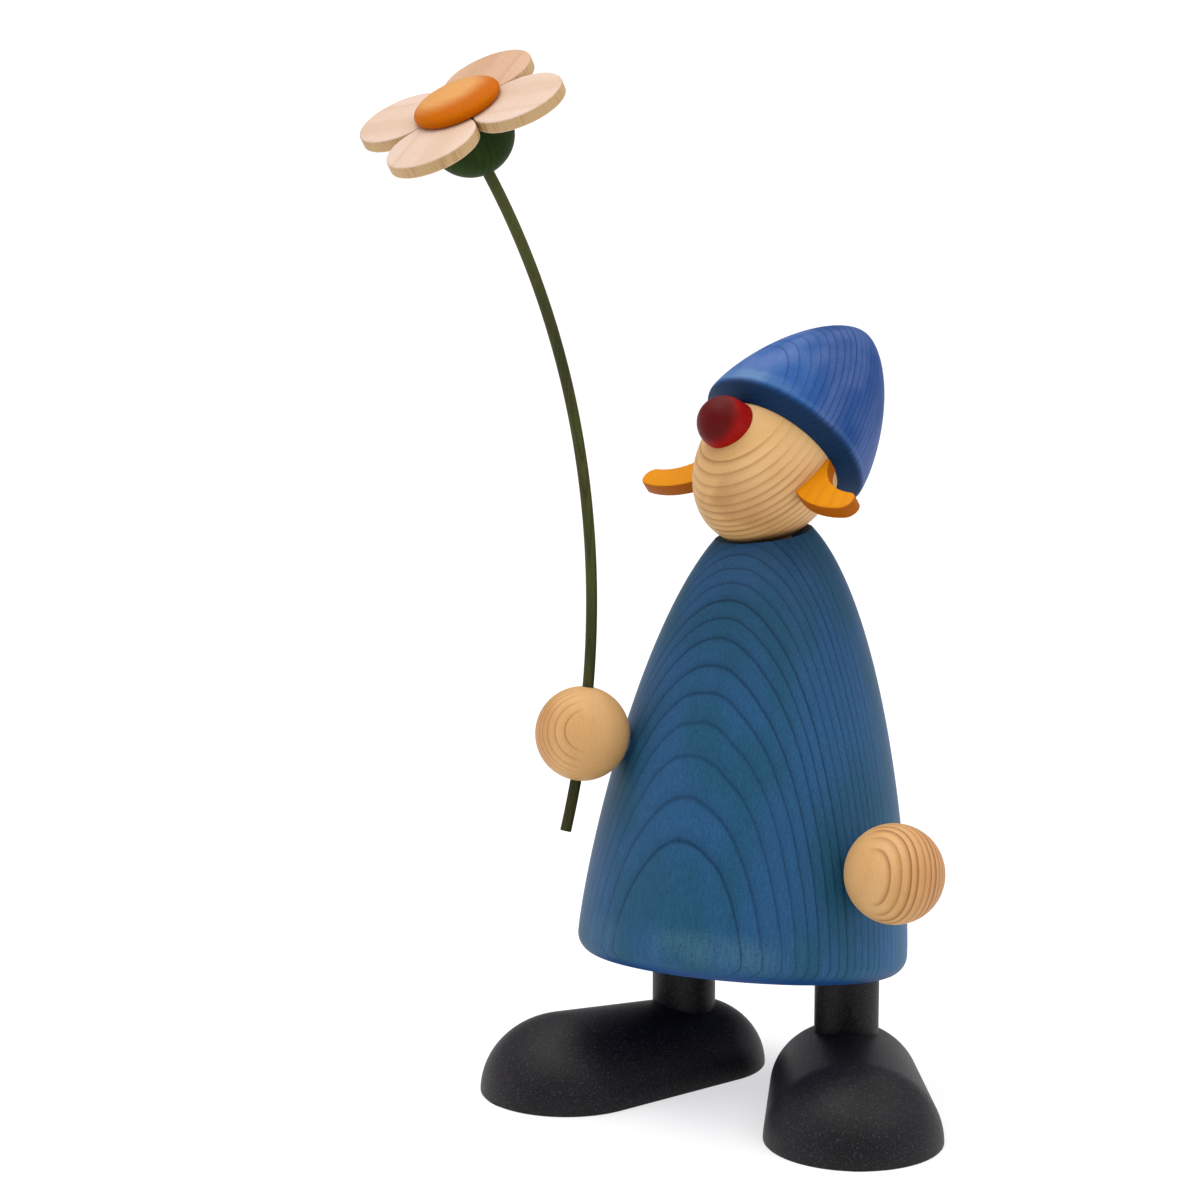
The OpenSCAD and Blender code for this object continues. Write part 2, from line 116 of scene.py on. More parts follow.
# %% A wire in a node tree
class Wire:
    """One output socket. Arithmetic on wires adds Math nodes, and node() adds any other kind."""

    def __init__(self, tree, socket):
        self.tree = tree
        self.socket = socket

    def node(self, kind, settings=None, inputs=None, output=0):
        made = self.tree.nodes.new(kind)
        for name, value in (settings or {}).items():
            if name == "stops":
                set_stops(made.color_ramp, value)
            else:
                setattr(made, name, value)
        for name, value in (inputs or {}).items():
            if isinstance(value, Wire):
                self.tree.links.new(value.socket, made.inputs[name])
            else:
                made.inputs[name].default_value = value
        return Wire(self.tree, made.outputs[output])

    def maths(self, operation, first, second):
        return self.node("ShaderNodeMath", {"operation": operation}, {0: first, 1: second})

    def __add__(self, other):
        return self.maths("ADD", self, other)

    def __radd__(self, other):
        return self.maths("ADD", other, self)

    def __sub__(self, other):
        return self.maths("SUBTRACT", self, other)

    def __rsub__(self, other):
        return self.maths("SUBTRACT", other, self)

    def __mul__(self, other):
        return self.maths("MULTIPLY", self, other)

    def __truediv__(self, other):
        return self.maths("DIVIDE", self, other)


def set_stops(ramp, stops):
    """Gives a colour ramp grey stops from 0 to 1, each a position and a brightness."""
    first, *inner, last = [(position, (grey, grey, grey, 1)) for position, grey in stops]
    for position, colour in inner:
        ramp.elements.new(position).color = colour
    ramp.elements[0].color = first[1]
    ramp.elements[-1].color = last[1]


# %% [markdown]
# Colours are chosen as they look on a screen, from 0 to 255, but the renderer works with light. One
# function changes the first into the second. Mixing, shading and easing between two values come up in
# every finish, so they get short names as well.

# %% Colours, mixing and easing
def stain(red, green, blue):
    """A colour as seen on a screen, as light for the renderer. The numbers are those of the sRGB curve."""
    shares = [channel / 255 for channel in (red, green, blue)]
    return tuple(s / 12.92 if s < 0.04045 else ((s + 0.055) / 1.055) ** 2.4 for s in shares) + (1,)


def mixed(factor, low, high):
    return factor.node("ShaderNodeMix", {"data_type": "RGBA"}, {0: factor, 6: low, 7: high}, output=2)


def shaded(colour, grey):
    """Soft light on a colour: a grey of a half leaves it as it is."""
    settings = {"data_type": "RGBA", "blend_type": "SOFT_LIGHT"}
    return colour.node("ShaderNodeMix", settings, {0: 1.0, 6: colour, 7: grey}, output=2)


def eased(value, low, high):
    """0 below low, 1 above high, and a smooth rise between."""
    settings = {"interpolation_type": "SMOOTHSTEP"}
    return value.node("ShaderNodeMapRange", settings, {"Value": value, "From Min": low, "From Max": high})


def scaled(vector, by):
    return vector.node("ShaderNodeVectorMath", {"operation": "MULTIPLY"}, {0: vector, 1: by})


def part_of(vector, axis):
    """One coordinate of a vector: 0, 1 or 2 for X, Y or Z."""
    return vector.node("ShaderNodeSeparateXYZ", None, {"Vector": vector}, output=axis)


def size_of(value):
    """A value without its sign."""
    return value.maths("ABSOLUTE", value, 0.0)


def near(value, centre, span):
    """1 close to a centre, and 0 far from it. The span gives the two distances."""
    return 1 - eased(size_of(value - centre), *span)


def from_axis(local):
    """How far the points of a frame lie from its Z axis."""
    flat = scaled(local, (1.0, 1.0, 0.0))
    return flat.node("ShaderNodeVectorMath", {"operation": "LENGTH"}, {0: flat}, output=1)


def cloudy(vector, scale, detail=2.0, roughness=0.5):
    return vector.node("ShaderNodeTexNoise", None,
                       {"Vector": vector, "Scale": scale, "Detail": detail, "Roughness": roughness})


# %% [markdown]
# ## Floor and light
# The photograph is a product shot: a broad soft light overhead, a window at either side, a dim wall in
# front, and a table so bright that it runs to white together with the background. Only where the feet
# keep the light out does the table show grey. Lamps alone would leave a grey horizon, so the world itself
# is the studio, and the table glows a little, as a lit one does, which keeps the shadow between the feet
# pale. Two wide lamps add a sheen.

# %% Floor and lights
# An edge is where one light of the studio gives way to the next: how far a heading points aside or up.
FLOOR_HALF = 12.0
FLOOR_PAINT = {"Base Color": (0.45, 0.45, 0.45, 1), "Roughness": 0.9, "Specular IOR Level": 0.1,
               "Emission Color": (1, 1, 1, 1), "Emission Strength": 0.6}
HORIZON = (1.1, 1.1, 1.1, 1)
HORIZON_EDGE = (0.03, 0.12)
FRONT_WALL = (0.25, 0.25, 0.27, 1)
SIDE_WINDOW = (0.95, 0.88, 1.0, 1)
WINDOW_EDGE = (0.55, 0.9)
CEILING = (1.7, 1.67, 1.64, 1)
CEILING_EDGE = (0.5, 0.85)
scene = bpy.context.scene
scene.view_settings.view_transform = "Standard"

world = bpy.data.worlds.new("studio")
world.use_nodes = True
world_tree = world.node_tree
heading = Wire(world_tree, world_tree.nodes.new("ShaderNodeTexCoord").outputs["Generated"])
rise = part_of(heading, 2)
sideways = camera_turn.to_3x3() @ Vector((1, 0, 0))
aside = heading.node("ShaderNodeVectorMath", {"operation": "DOT_PRODUCT"},
                     {0: heading, 1: sideways}, output=1)
walls = mixed(eased(size_of(aside), *WINDOW_EDGE), FRONT_WALL, SIDE_WINDOW)
walls = mixed(eased(rise, *HORIZON_EDGE), HORIZON, walls)
dome = mixed(eased(rise, *CEILING_EDGE), walls, CEILING)
world_tree.links.new(dome.socket, world_tree.nodes["Background"].inputs["Color"])
scene.world = world

floor_shape = bmesh.new()
bmesh.ops.create_grid(floor_shape, x_segments=1, y_segments=1, size=FLOOR_HALF)
floor_mesh = bpy.data.meshes.new("floor")
floor_shape.to_mesh(floor_mesh)
floor_shape.free()
floor_paint = bpy.data.materials.new("floor")
floor_paint.use_nodes = True
floor_shader = floor_paint.node_tree.nodes["Principled BSDF"]
for name, value in FLOOR_PAINT.items():
    floor_shader.inputs[name].default_value = value
floor_mesh.materials.append(floor_paint)
floor = bpy.data.objects.new("floor", floor_mesh)
scene.collection.objects.link(floor)


def add_light(name, place, target, size, power, colour):
    """A round lamp. Place, target and size are in metres, and power is in watts."""
    data = bpy.data.lights.new(name, "AREA")
    data.shape = "DISK"
    data.size = size
    data.energy = power
    data.color = colour
    lamp = bpy.data.objects.new(name, data)
    lamp.location = place
    lamp.rotation_euler = (Vector(target) - Vector(place)).to_track_quat("-Z", "Y").to_euler()
    scene.collection.objects.link(lamp)
    print("light", name, "of", power, "W")


add_light("overhead", place=(-0.25, -0.2, 1.1), target=(0, 0, 0.1),
          size=0.6, power=2.5, colour=(1, 0.98, 0.97))
add_light("right_lamp", place=(0.76, -0.15, 0.85), target=(0, 0, 0.15),
          size=0.45, power=1.3, colour=(1, 0.95, 1))

# %% [markdown]
# A finish starts from Object coordinates. All pieces sit at the origin, so these are the figure's own
# metres. A Mapping node of the Texture kind undoes a frame, which gives millimetres along the piece's own
# axes. The grain frame has its Z along the fibres and its origin on the pith.

# %% Starting a finish
def new_finish(name, shine):
    """A material, its shader and the wire of its points. Shine is how strongly it reflects."""
    material = bpy.data.materials.new(name)
    material.use_nodes = True
    tree = material.node_tree
    shader = tree.nodes["Principled BSDF"]
    shader.inputs["Specular IOR Level"].default_value = shine
    points = Wire(tree, tree.nodes.new("ShaderNodeTexCoord").outputs["Object"])
    return material, shader, points


def in_frame(points, place):
    """The points in millimetres along the axes of a frame."""
    inputs = {"Vector": points, "Location": place.translation * MM, "Rotation": place.to_euler(),
              "Scale": (MM, MM, MM)}
    return points.node("ShaderNodeMapping", {"vector_type": "TEXTURE"}, inputs)


def pith_line(place, along):
    """A grain frame on a point of the pith, with Z along the fibres."""
    return Matrix.Translation(place) @ along.to_track_quat("Z", "Y").to_matrix().to_4x4()


# %% [markdown]
# Softwood has a pale spring part in each ring and a thin dark line where the year ended. The distance
# from the pith, over the ring's width, counts the years. Its fraction runs through a ring, and a ramp
# turns that into a line with one soft side and one crisp side. Two noises keep it from looking ruled: one
# lets the rings wander, the other makes years of different width. White noise on the year's number gives
# each line its own strength. On the photograph the lines start at one first ring and the wood before it is
# plain, so a finish names its first ring and the side that the others lie on.

# %% Year rings and fibres
# A stretch sets how fine a noise is along each axis, and a scale how fine it is as a whole.
# A range gives the two values between which something rises from 0 to 1, or falls.
SOFT_LINE = [(0.0, 0.5), (0.07, 0.0), (0.5, 0.05), (0.8, 0.5), (0.93, 1.0), (1.0, 0.5)]
THIN_LINE = [(0.0, 0.35), (0.05, 0.0), (0.55, 0.0), (0.84, 0.25), (0.94, 1.0), (1.0, 0.35)]
OUTWARDS = 1
INWARDS = -1
MIDDLE = 0.5
DRIFT_STRETCH = (1.0, 1.0, 0.25)
DRIFT_SCALE = 0.08
UNEVEN_RATE = 0.55
UNEVEN_YEARS = 0.5
FIRST_LINE_RANGE = (-0.45, -0.15)
FAINTEST_LINE = 0.55
FIBRE_STRETCH = (3.2, 3.2, 0.12)
SPECK_SCALE = 2.6
CLOUD_STRETCH = (1.0, 1.0, 0.4)
CLOUD_SCALE = 0.11
CLOUD_RANGE = (0.36, 0.64)


def year_lines(local, first, width, side=INWARDS, crowd=0.0, wander=0.4, profile=SOFT_LINE):
    """How dark the year line is, from 0 in the spring wood to 1. First is the first ring's radius."""
    drift = cloudy(scaled(local, DRIFT_STRETCH), DRIFT_SCALE)
    beyond = from_axis(local) - first + (drift - MIDDLE) * wander
    years = beyond / width * (1 + beyond * (crowd * side))
    uneven = years.node("ShaderNodeTexNoise", {"noise_dimensions": "1D"},
                        {"W": years * UNEVEN_RATE, "Scale": 1.0, "Detail": 1.0})
    lines_from = eased(years * side, *FIRST_LINE_RANGE)
    years = years + (uneven - MIDDLE) * UNEVEN_YEARS
    share = years.maths("FRACT", years, 0.0)
    number = years.maths("ROUND", years, 0.0)
    strength = number.node("ShaderNodeTexWhiteNoise", {"noise_dimensions": "1D"}, {"W": number})
    line = share.node("ShaderNodeValToRGB", {"stops": profile}, {"Fac": share})
    return line * lines_from * (FAINTEST_LINE + strength * (1 - FAINTEST_LINE))


def fibres(local):
    """Fine streaks along the grain, about 0 to 1."""
    return cloudy(scaled(local, FIBRE_STRETCH), 1.0, detail=4.0, roughness=0.65)


def specks(local):
    """Fine pores and dots of stain, about 0 to 1."""
    return cloudy(local, SPECK_SCALE, roughness=0.7)


def mottled(colour, streaks, mottle):
    """Streaks as light and dark on a colour."""
    return shaded(colour, streaks * mottle + (MIDDLE - mottle / 2))


def wood_colour(points, grain, rings, colours, mottle, fade=1.0):
    """Year lines on cloudy, streaked and speckled wood. Gives the colour, the lines and the streaks."""
    pale, blotch, dark = colours
    local = in_frame(points, grain)
    lines = year_lines(local, **rings) * fade
    streaks = (fibres(local) + specks(local)) / 2
    clouds = eased(cloudy(scaled(local, CLOUD_STRETCH), CLOUD_SCALE), *CLOUD_RANGE)
    colour = mixed(lines, mixed(clouds, pale, blotch), dark)
    return mottled(colour, streaks, mottle), lines, streaks


# %% [markdown]
# Streaks and lines also change the roughness a little and stand out by hundredths of a millimetre.
# A surface lists how much the streaks roughen it, how much the lines smooth it, and how high each stands.

# %% Dressing a shader
STAINED = (0.2, 0.05, 0.6, 0.4)
BARE = (0.2, 0.0, 0.6, 0.4)
FINE = (0.15, 0.0, 0.5, 0.3)
RELIEF = 0.03
BUMP_STRENGTH = 0.5


def dress(shader, colour, roughness, height, relief=RELIEF):
    """Joins a colour, a roughness and a height to the shader. A height of 1 stands out by the relief."""
    bump = colour.node("ShaderNodeBump", None,
                       {"Height": height, "Distance": relief * MM, "Strength": BUMP_STRENGTH})
    links = colour.tree.links
    links.new(colour.socket, shader.inputs["Base Color"])
    links.new(roughness.socket, shader.inputs["Roughness"])
    links.new(bump.socket, shader.inputs["Normal"])


def dress_wood(shader, colour, streaks, lines, roughness, surface):
    """Dresses wood in its colour, with a mean roughness and one of the surfaces."""
    rougher, smoother, streak_height, line_height = surface
    uneven = roughness + (streaks - MIDDLE) * rougher - lines * smoother
    dress(shader, colour, uneven, streaks * streak_height + lines * line_height)


def wood_finish(name, grain, rings, colours, roughness, mottle, shine):
    """Stained wood in its pale, cloudy and line colours."""
    material, shader, points = new_finish(name, shine)
    colour, lines, streaks = wood_colour(points, grain, rings, colours, mottle)
    dress_wood(shader, colour, streaks, lines, roughness, STAINED)
    return material


# %% [markdown]
# ## Turning and putting pieces in place
# On a lathe a half outline is all that matters. Here it is a chain of points that a spin carries once
# round the axis. The poles come out as many points in one place, so doubles are merged, and then the
# normals are turned out. Another helper rounds every crisp edge a little, because no edge on real turned
# wood is a perfect corner. The last one scales the shape to metres, gives it its finish and lets it stand
# for the CAD part.

# %% Lathe, soft edges and placing
QUARTER = math.pi / 2
MERGE_WITHIN = 0.0005
CRISP_ANGLE = 40
SQUARE_ANGLE = 60
SHADE_ANGLE = 38
SIDES = ((-1, "right"), (1, "left"))


def arc_angles(start, end, steps):
    """Angles from one to another, in equal steps."""
    return [start + (end - start) * i / steps for i in range(steps + 1)]


def arc(middle, radius, height, angles):
    """Points of an outline on an ellipse, or on a circle where radius and height are the same."""
    across, up = middle
    return [(across + radius * math.cos(a), up + height * math.sin(a)) for a in angles]


def rod(radius, low, high):
    """Half outline of a plain rod or disc."""
    return [(0, low), (radius, low), (radius, high), (0, high)]


def drawn(outline):
    """A new shape with a half outline of radius and height pairs, and the parts of that outline."""
    shape = bmesh.new()
    points = [shape.verts.new((radius, 0, height)) for radius, height in outline]
    edges = [shape.edges.new(pair) for pair in zip(points, points[1:])]
    return shape, points + edges


def on_lathe(outline, steps=128):
    """Spins a half outline once round Z."""
    shape, parts = drawn(outline)
    bmesh.ops.spin(shape, geom=parts, cent=(0, 0, 0), axis=(0, 0, 1),
                   angle=math.tau, steps=steps, use_merge=True)
    bmesh.ops.remove_doubles(shape, verts=shape.verts, dist=MERGE_WITHIN)
    bmesh.ops.recalc_face_normals(shape, faces=shape.faces)
    return shape


def soften(shape, width, above=CRISP_ANGLE):
    """Rounds the edges that turn by more than an angle."""
    crisp = [edge for edge in shape.edges
             if len(edge.link_faces) == 2 and edge.calc_face_angle() > math.radians(above)]
    bmesh.ops.bevel(shape, geom=crisp, offset=width, offset_type="OFFSET", affect="EDGES",
                    segments=3, profile=0.5, material=-1)


def put_in_place(shape, name, node, place, finish):
    """Makes a shape drawn in millimetres the piece that stands for a CAD node."""
    bmesh.ops.transform(shape, matrix=Matrix.Scale(MM, 4) @ place, verts=shape.verts)
    if place.determinant() < 0:
        bmesh.ops.reverse_faces(shape, faces=shape.faces)
    mesh = bpy.data.meshes.new(name)
    shape.to_mesh(mesh)
    shape.free()
    mesh.shade_smooth()
    mesh.set_sharp_from_angle(angle=math.radians(SHADE_ANGLE))
    mesh.materials.append(finish)
    piece = bpy.data.objects.new(name, mesh)
    scene.collection.objects.link(piece)
    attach(piece, body_of_node[node])
    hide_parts(node)
    print(name, "has", len(mesh.polygons), "faces in", finish.name)


# %% [markdown]
# Where one shape sits in another, a Boolean modifier cuts the seat. It works on objects, so both shapes
# become objects for a moment, the cut result is read back, and the two are thrown away.

# %% Cutting one shape with another
def cut_by(shape, cutter):
    """The shape without the room that the cutter takes."""
    pair = []
    for part in (shape, cutter):
        mesh = bpy.data.meshes.new("blank")
        part.to_mesh(mesh)
        part.free()
        blank = bpy.data.objects.new("blank", mesh)
        scene.collection.objects.link(blank)
        pair.append(blank)
    block, tool = pair
    seat = block.modifiers.new("seat", "BOOLEAN")
    seat.operation = "DIFFERENCE"
    seat.solver = "EXACT"
    seat.object = tool
    result = bmesh.new()
    result.from_object(block, bpy.context.evaluated_depsgraph_get())
    for blank in pair:
        bpy.data.meshes.remove(blank.data)
    return result


# %% [markdown]
# ## The coat
# The coat is one heavy turned piece. It leans back, its hem is rounded, and its side falls in faster and
# faster towards the top, where a round dish carries the head. A subdivided cone could come close, but the
# measured curve is a simple power law, so the outline is written as that and spun.

# %% Turn the coat
COAT_R = 34.1
COAT_LENGTH = 94.5
COAT_FALL = 1.38
COAT_SWELL = 2.04
COAT_FORWARD = 11.3
COAT_UP = 28.3
COAT_SIDE_LEAN = 0.45
COAT_BACK_LEAN = 9.4
HEM_ROUND = 4.1
HEAD_TURN = 22.5
DISH_R = 19.87
DISH_FORWARD = 6.8
DISH_ALONG = 105.3

coat_frame = (ground @ moved(0, -COAT_FORWARD, COAT_UP)
              @ turned("Y", -COAT_SIDE_LEAN) @ turned("X", -COAT_BACK_LEAN))


def coat_radius(height):
    share = max(0.0, (height - HEM_ROUND) / (COAT_LENGTH - HEM_ROUND))
    return COAT_R * max(0.0, 1 - share ** COAT_FALL) ** (1 / COAT_SWELL)


hem_angles = arc_angles(-QUARTER, 0, steps=12)
coat_outline = [(0, 0)]
coat_outline += arc((COAT_R - HEM_ROUND, HEM_ROUND), HEM_ROUND, HEM_ROUND, hem_angles)
side_angles = arc_angles(0, QUARTER, steps=60)[1:-1]
coat_heights = [HEM_ROUND + (COAT_LENGTH - HEM_ROUND) * math.sin(a) for a in side_angles]
coat_outline += [(coat_radius(height), height) for height in coat_heights]
coat_outline += [(0, COAT_LENGTH)]
coat_shape = on_lathe(coat_outline, steps=160)

dish = bmesh.new()
bmesh.ops.create_uvsphere(dish, u_segments=96, v_segments=64, radius=DISH_R)
dish_place = turned("Z", -HEAD_TURN) @ moved(0, -DISH_FORWARD, DISH_ALONG)
bmesh.ops.transform(dish, matrix=dish_place, verts=dish.verts)
coat_shape = cut_by(coat_shape, dish)
print("the coat is", round(coat_radius(COAT_LENGTH / 2), 1), "mm in radius at half its length")

# %% [markdown]
# The coat's grain shows arches, tip up, on the front, and tight upright lines on the flanks. That happens
# when the pith runs up far behind the piece, so that the rings are nearly flat sheets: the coat cuts
# through one after the other as it grows thinner. The stain is thin, so it is cloudy. Painted shade makes
# it deeper towards the top, and painted light makes it paler low on the left flank. Near the hem the front
# is rubbed to a paler, greener blue, and the turn of the hem itself is a deep blue again.

# %% The coat's blue stain
# Ranges are in millimetres of the coat's own frame, apart from that of the worn patches.
COAT_COLOURS = (stain(36, 79, 117), stain(29, 76, 103), stain(12, 44, 70))
COAT_WORN = stain(78, 118, 130)
COAT_HEM = stain(20, 64, 116)
COAT_RINGS = {"first": 181.6, "width": 1.62, "wander": 0.9, "profile": THIN_LINE}
COAT_PITH_BEHIND = 150
COAT_PITH_TURN = 1
# Grey levels for soft light: the flank's adds painted light low on the side, the top's is painted shade.
COAT_LIGHT = 0.54
FLANK_PAINTED_LIGHT = 0.2
FLANK_ASIDE_RANGE = (8.0, 28.0)
FLANK_UP_RANGE = (8.0, 44.0)
TOP_PAINTED_SHADE = 0.14
TOP_RANGE = (45.0, 85.0)
WORN_HEIGHT = 6.0
WORN_BAND_RANGE = (1.0, 5.0)
WORN_FRONT_RANGE = (0.55 * COAT_R, 0.95 * COAT_R)
WORN_STRETCH = (1.0, 1.0, 0.5)
WORN_SCALE = 0.07
WORN_PATCH_RANGE = (0.3, 0.7)
WORN_CONTRAST = 2.4
WORN_LEAST = 0.8
HEM_RANGE = (0.6, 2.2)

coat_grain = coat_frame @ turned("Z", COAT_PITH_TURN) @ moved(0, COAT_PITH_BEHIND, 0)
coat_seen = coat_frame @ turned("Z", CAMERA_AZIMUTH)


def coat_finish():
    material, shader, points = new_finish("coat_stain", shine=0.12)
    colour, lines, streaks = wood_colour(points, coat_grain, COAT_RINGS, COAT_COLOURS, mottle=0.85)
    place = in_frame(points, coat_frame)
    height = part_of(place, 2)
    across = part_of(in_frame(points, coat_seen), 0)
    lit_flank = eased(across, *FLANK_ASIDE_RANGE) * (1 - eased(height, *FLANK_UP_RANGE))
    # Painted light low on the left flank and painted shade towards the top.
    colour = shaded(colour, COAT_LIGHT + lit_flank * FLANK_PAINTED_LIGHT - eased(height, *TOP_RANGE) * TOP_PAINTED_SHADE)
    band = near(height, WORN_HEIGHT, WORN_BAND_RANGE)
    front = eased(0 - part_of(place, 1), *WORN_FRONT_RANGE)
    patches = eased(cloudy(scaled(place, WORN_STRETCH), WORN_SCALE), *WORN_PATCH_RANGE)
    worn = band * front * patches * (streaks * WORN_CONTRAST - WORN_LEAST)
    colour = mixed(worn, colour, COAT_WORN)
    colour = mixed(1 - eased(height, *HEM_RANGE), colour, COAT_HEM)
    dress_wood(shader, colour, streaks, lines, roughness=0.5, surface=STAINED)
    return material


coat_stain = coat_finish()
put_in_place(coat_shape, "coat_turning", "coat", coat_frame, coat_stain)

# %% [markdown]
# ## Legs and shoes
# The legs are plain dowels. A shoe is half of a turned shape that lies on its side: a round heel and a
# larger round toe joined by a straight taper, squeezed a little in height. A half spin makes the upper.
# Its two poles would lie on the edge of the sole and spoil it when that is rounded, so they are left out
# and closed with a small flat face. The open edge is filled to make the sole. The black stain is matt and
# full of fine pale specks.

# %% Legs and shoes
LEG_ASIDE = 19.0
LEG_R = 6.7
LEG_FOOT = 3.0
LEG_TOP = 41.4
LEG_EDGE = 0.5
LEG_PITH_BEHIND = 24
TOE_R = 18.1
TOE_REACH = 30.0
TOE_HEIGHT = 16.0
HEEL_R = 15.7
HEEL_BACK = 2.2
SHOE_SPLAY = 27.3
SHOE_PITH_ASIDE = 12
SHOE_PITH_BELOW = 16
SOLE_EDGE = 0.25

BLACK_COLOURS = (stain(15, 14, 17), stain(10, 10, 13), stain(7, 7, 9))
BLACK_RINGS = {"first": 30.0, "width": 1.4, "profile": THIN_LINE}
BLACK_ROUGHNESS = 0.5
BLACK_UNEVEN = 0.4
BLACK_RELIEF = 0.06
BLACK_LINE_HEIGHT = 0.4
DOT_COLOUR = stain(84, 76, 84)
DOT_SCALE = 2.4
DOT_RANGE = (0.52, 0.72)
DOT_STRENGTH = 0.6
DOT_HEIGHT = 0.6

shoe_taper = math.asin((TOE_R - HEEL_R) / (TOE_REACH + HEEL_BACK))
shoe_outline = arc((0, -HEEL_BACK), HEEL_R, HEEL_R, arc_angles(-QUARTER, -shoe_taper, steps=24)[1:])
shoe_outline += arc((0, TOE_REACH), TOE_R, TOE_R, arc_angles(-shoe_taper, QUARTER, steps=32)[:-1])


def shoe_shape():
    shape, parts = drawn(shoe_outline)
    bmesh.ops.spin(shape, geom=parts, cent=(0, 0, 0), axis=(0, 0, 1), angle=math.pi, steps=64)
    for _, along in (shoe_outline[0], shoe_outline[-1]):
        rim = [vert for vert in shape.verts if abs(vert.co.z - along) < MERGE_WITHIN]
        shape.faces.new(sorted(rim, key=lambda vert: math.atan2(vert.co.y, vert.co.x)))
    open_edge = [edge for edge in shape.edges if edge.is_boundary]
    bmesh.ops.edgeloop_fill(shape, edges=open_edge)
    bmesh.ops.recalc_face_normals(shape, faces=shape.faces)
    lie_down = Matrix.Diagonal((1, 1, TOE_HEIGHT / TOE_R, 1)) @ turned("X", 90)
    bmesh.ops.transform(shape, matrix=lie_down, verts=shape.verts)
    soften(shape, SOLE_EDGE)
    return shape


def black_finish(name, grain):
    material, shader, points = new_finish(name, shine=0.24)
    colour, lines, streaks = wood_colour(points, grain, BLACK_RINGS, BLACK_COLOURS, mottle=0.6)
    dots = eased(cloudy(in_frame(points, grain), DOT_SCALE, detail=3.0, roughness=0.8), *DOT_RANGE)
    colour = mixed(dots * DOT_STRENGTH, colour, DOT_COLOUR)
    roughness = BLACK_ROUGHNESS + (streaks - MIDDLE) * BLACK_UNEVEN
    height = (dots + streaks) * DOT_HEIGHT + lines * BLACK_LINE_HEIGHT
    dress(shader, colour, roughness, height, BLACK_RELIEF)
    return material


for side, hand in SIDES:
    leg_frame = ground @ moved(side * LEG_ASIDE, 0, 0)
    leg_shape = on_lathe(rod(LEG_R, LEG_FOOT, LEG_TOP), steps=64)
    soften(leg_shape, LEG_EDGE)
    leg_stain = black_finish(hand + "_leg_stain", leg_frame @ moved(0, LEG_PITH_BEHIND, 0))
    put_in_place(leg_shape, hand + "_leg_peg", hand + "_leg", leg_frame, leg_stain)
    shoe_frame = leg_frame @ turned("Z", side * SHOE_SPLAY)
    shoe_pith = moved(side * SHOE_PITH_ASIDE, 0, -SHOE_PITH_BELOW)
    shoe_stain = black_finish(hand + "_shoe_stain", shoe_frame @ shoe_pith @ turned("X", 90))
    put_in_place(shoe_shape(), hand + "_shoe_block", hand + "_shoe", shoe_frame, shoe_stain)

# %% [markdown]
# ## The hands
# Each hand is a wooden ball on a hidden dowel, bedded a hair deep in the coat. The right one is drilled
# through for the stem, so it is a bead: the outline runs round the outside and back up the bore, and the
# spin goes round the bore's own line. The left one is drilled only for its dowel.

# %% Hands
RIGHT_HAND_R = 9.65
RIGHT_HAND_UP = 43.5
RIGHT_HAND_FRONT = 45.3
LEFT_HAND_R = 10.0
LEFT_HAND_UP = 22.4
LEFT_HAND_FRONT = 21.2
HAND_BED = 0.2
HAND_DOWEL_R = 2.5
HAND_DOWEL_DEEP = 5.0
STEM_BEND = 155.2
STEM_LEAN = 10.0
STEM_SIDE = 19.4
STEM_ASIDE = 0.2
STEM_R = 1.15
STEM_GAP = 0.1


def coat_slope(height):
    """How far the coat's side leans in, from its fall over one millimetre."""
    return math.degrees(math.atan(coat_radius(height - 0.5) - coat_radius(height + 0.5)))


def hand_frame(height, turn):
    """On the coat's side, with Z straight out of it."""
    return (coat_frame @ turned("Z", turn) @ moved(coat_radius(height), 0, height)
            @ turned("Y", 90 - coat_slope(height)))


right_hand_frame = hand_frame(RIGHT_HAND_UP, 180 + RIGHT_HAND_FRONT) @ moved(0, 0, RIGHT_HAND_R - HAND_BED)
left_hand_frame = hand_frame(LEFT_HAND_UP, -LEFT_HAND_FRONT) @ moved(0, 0, LEFT_HAND_R - HAND_BED)
right_hand_at = right_hand_frame.translation
left_hand_at = left_hand_frame.translation

stem_plane = turned("Z", 90 - STEM_SIDE) @ turned("X", 90)
stem_centre = right_hand_at - stem_plane @ (turned("Z", -STEM_LEAN) @ Vector((STEM_BEND, 0, 0))
                                            + Vector((0, 0, STEM_ASIDE)))
stem_frame = Matrix.Translation(stem_centre) @ stem_plane
stem_stray = STEM_BEND - math.sqrt(STEM_BEND ** 2 - RIGHT_HAND_R ** 2)
bore_r = STEM_R + stem_stray / 2 + STEM_GAP
bore_frame = stem_frame @ turned("Z", -STEM_LEAN) @ moved(STEM_BEND - stem_stray / 2, 0, 0) @ turned("X", -90)


def ball_arc(radius, top_r, bottom_r):
    """Half outline of a ball, from a hole at the top to a hole at the bottom."""
    start = QUARTER - math.asin(top_r / radius)
    end = math.asin(bottom_r / radius) - QUARTER
    return arc((0, 0), radius, radius, arc_angles(start, end, steps=48))


bead_arc = ball_arc(RIGHT_HAND_R, bore_r, bore_r)
right_hand_shape = on_lathe(bead_arc + [bead_arc[0]])
ball_outline = ball_arc(LEFT_HAND_R, 0, HAND_DOWEL_R)
ball_outline += [(r, HAND_DOWEL_DEEP - LEFT_HAND_R) for r in (HAND_DOWEL_R, 0)]
left_hand_shape = on_lathe(ball_outline)
print("the stem's bore is", round(2 * bore_r, 2), "mm wide")
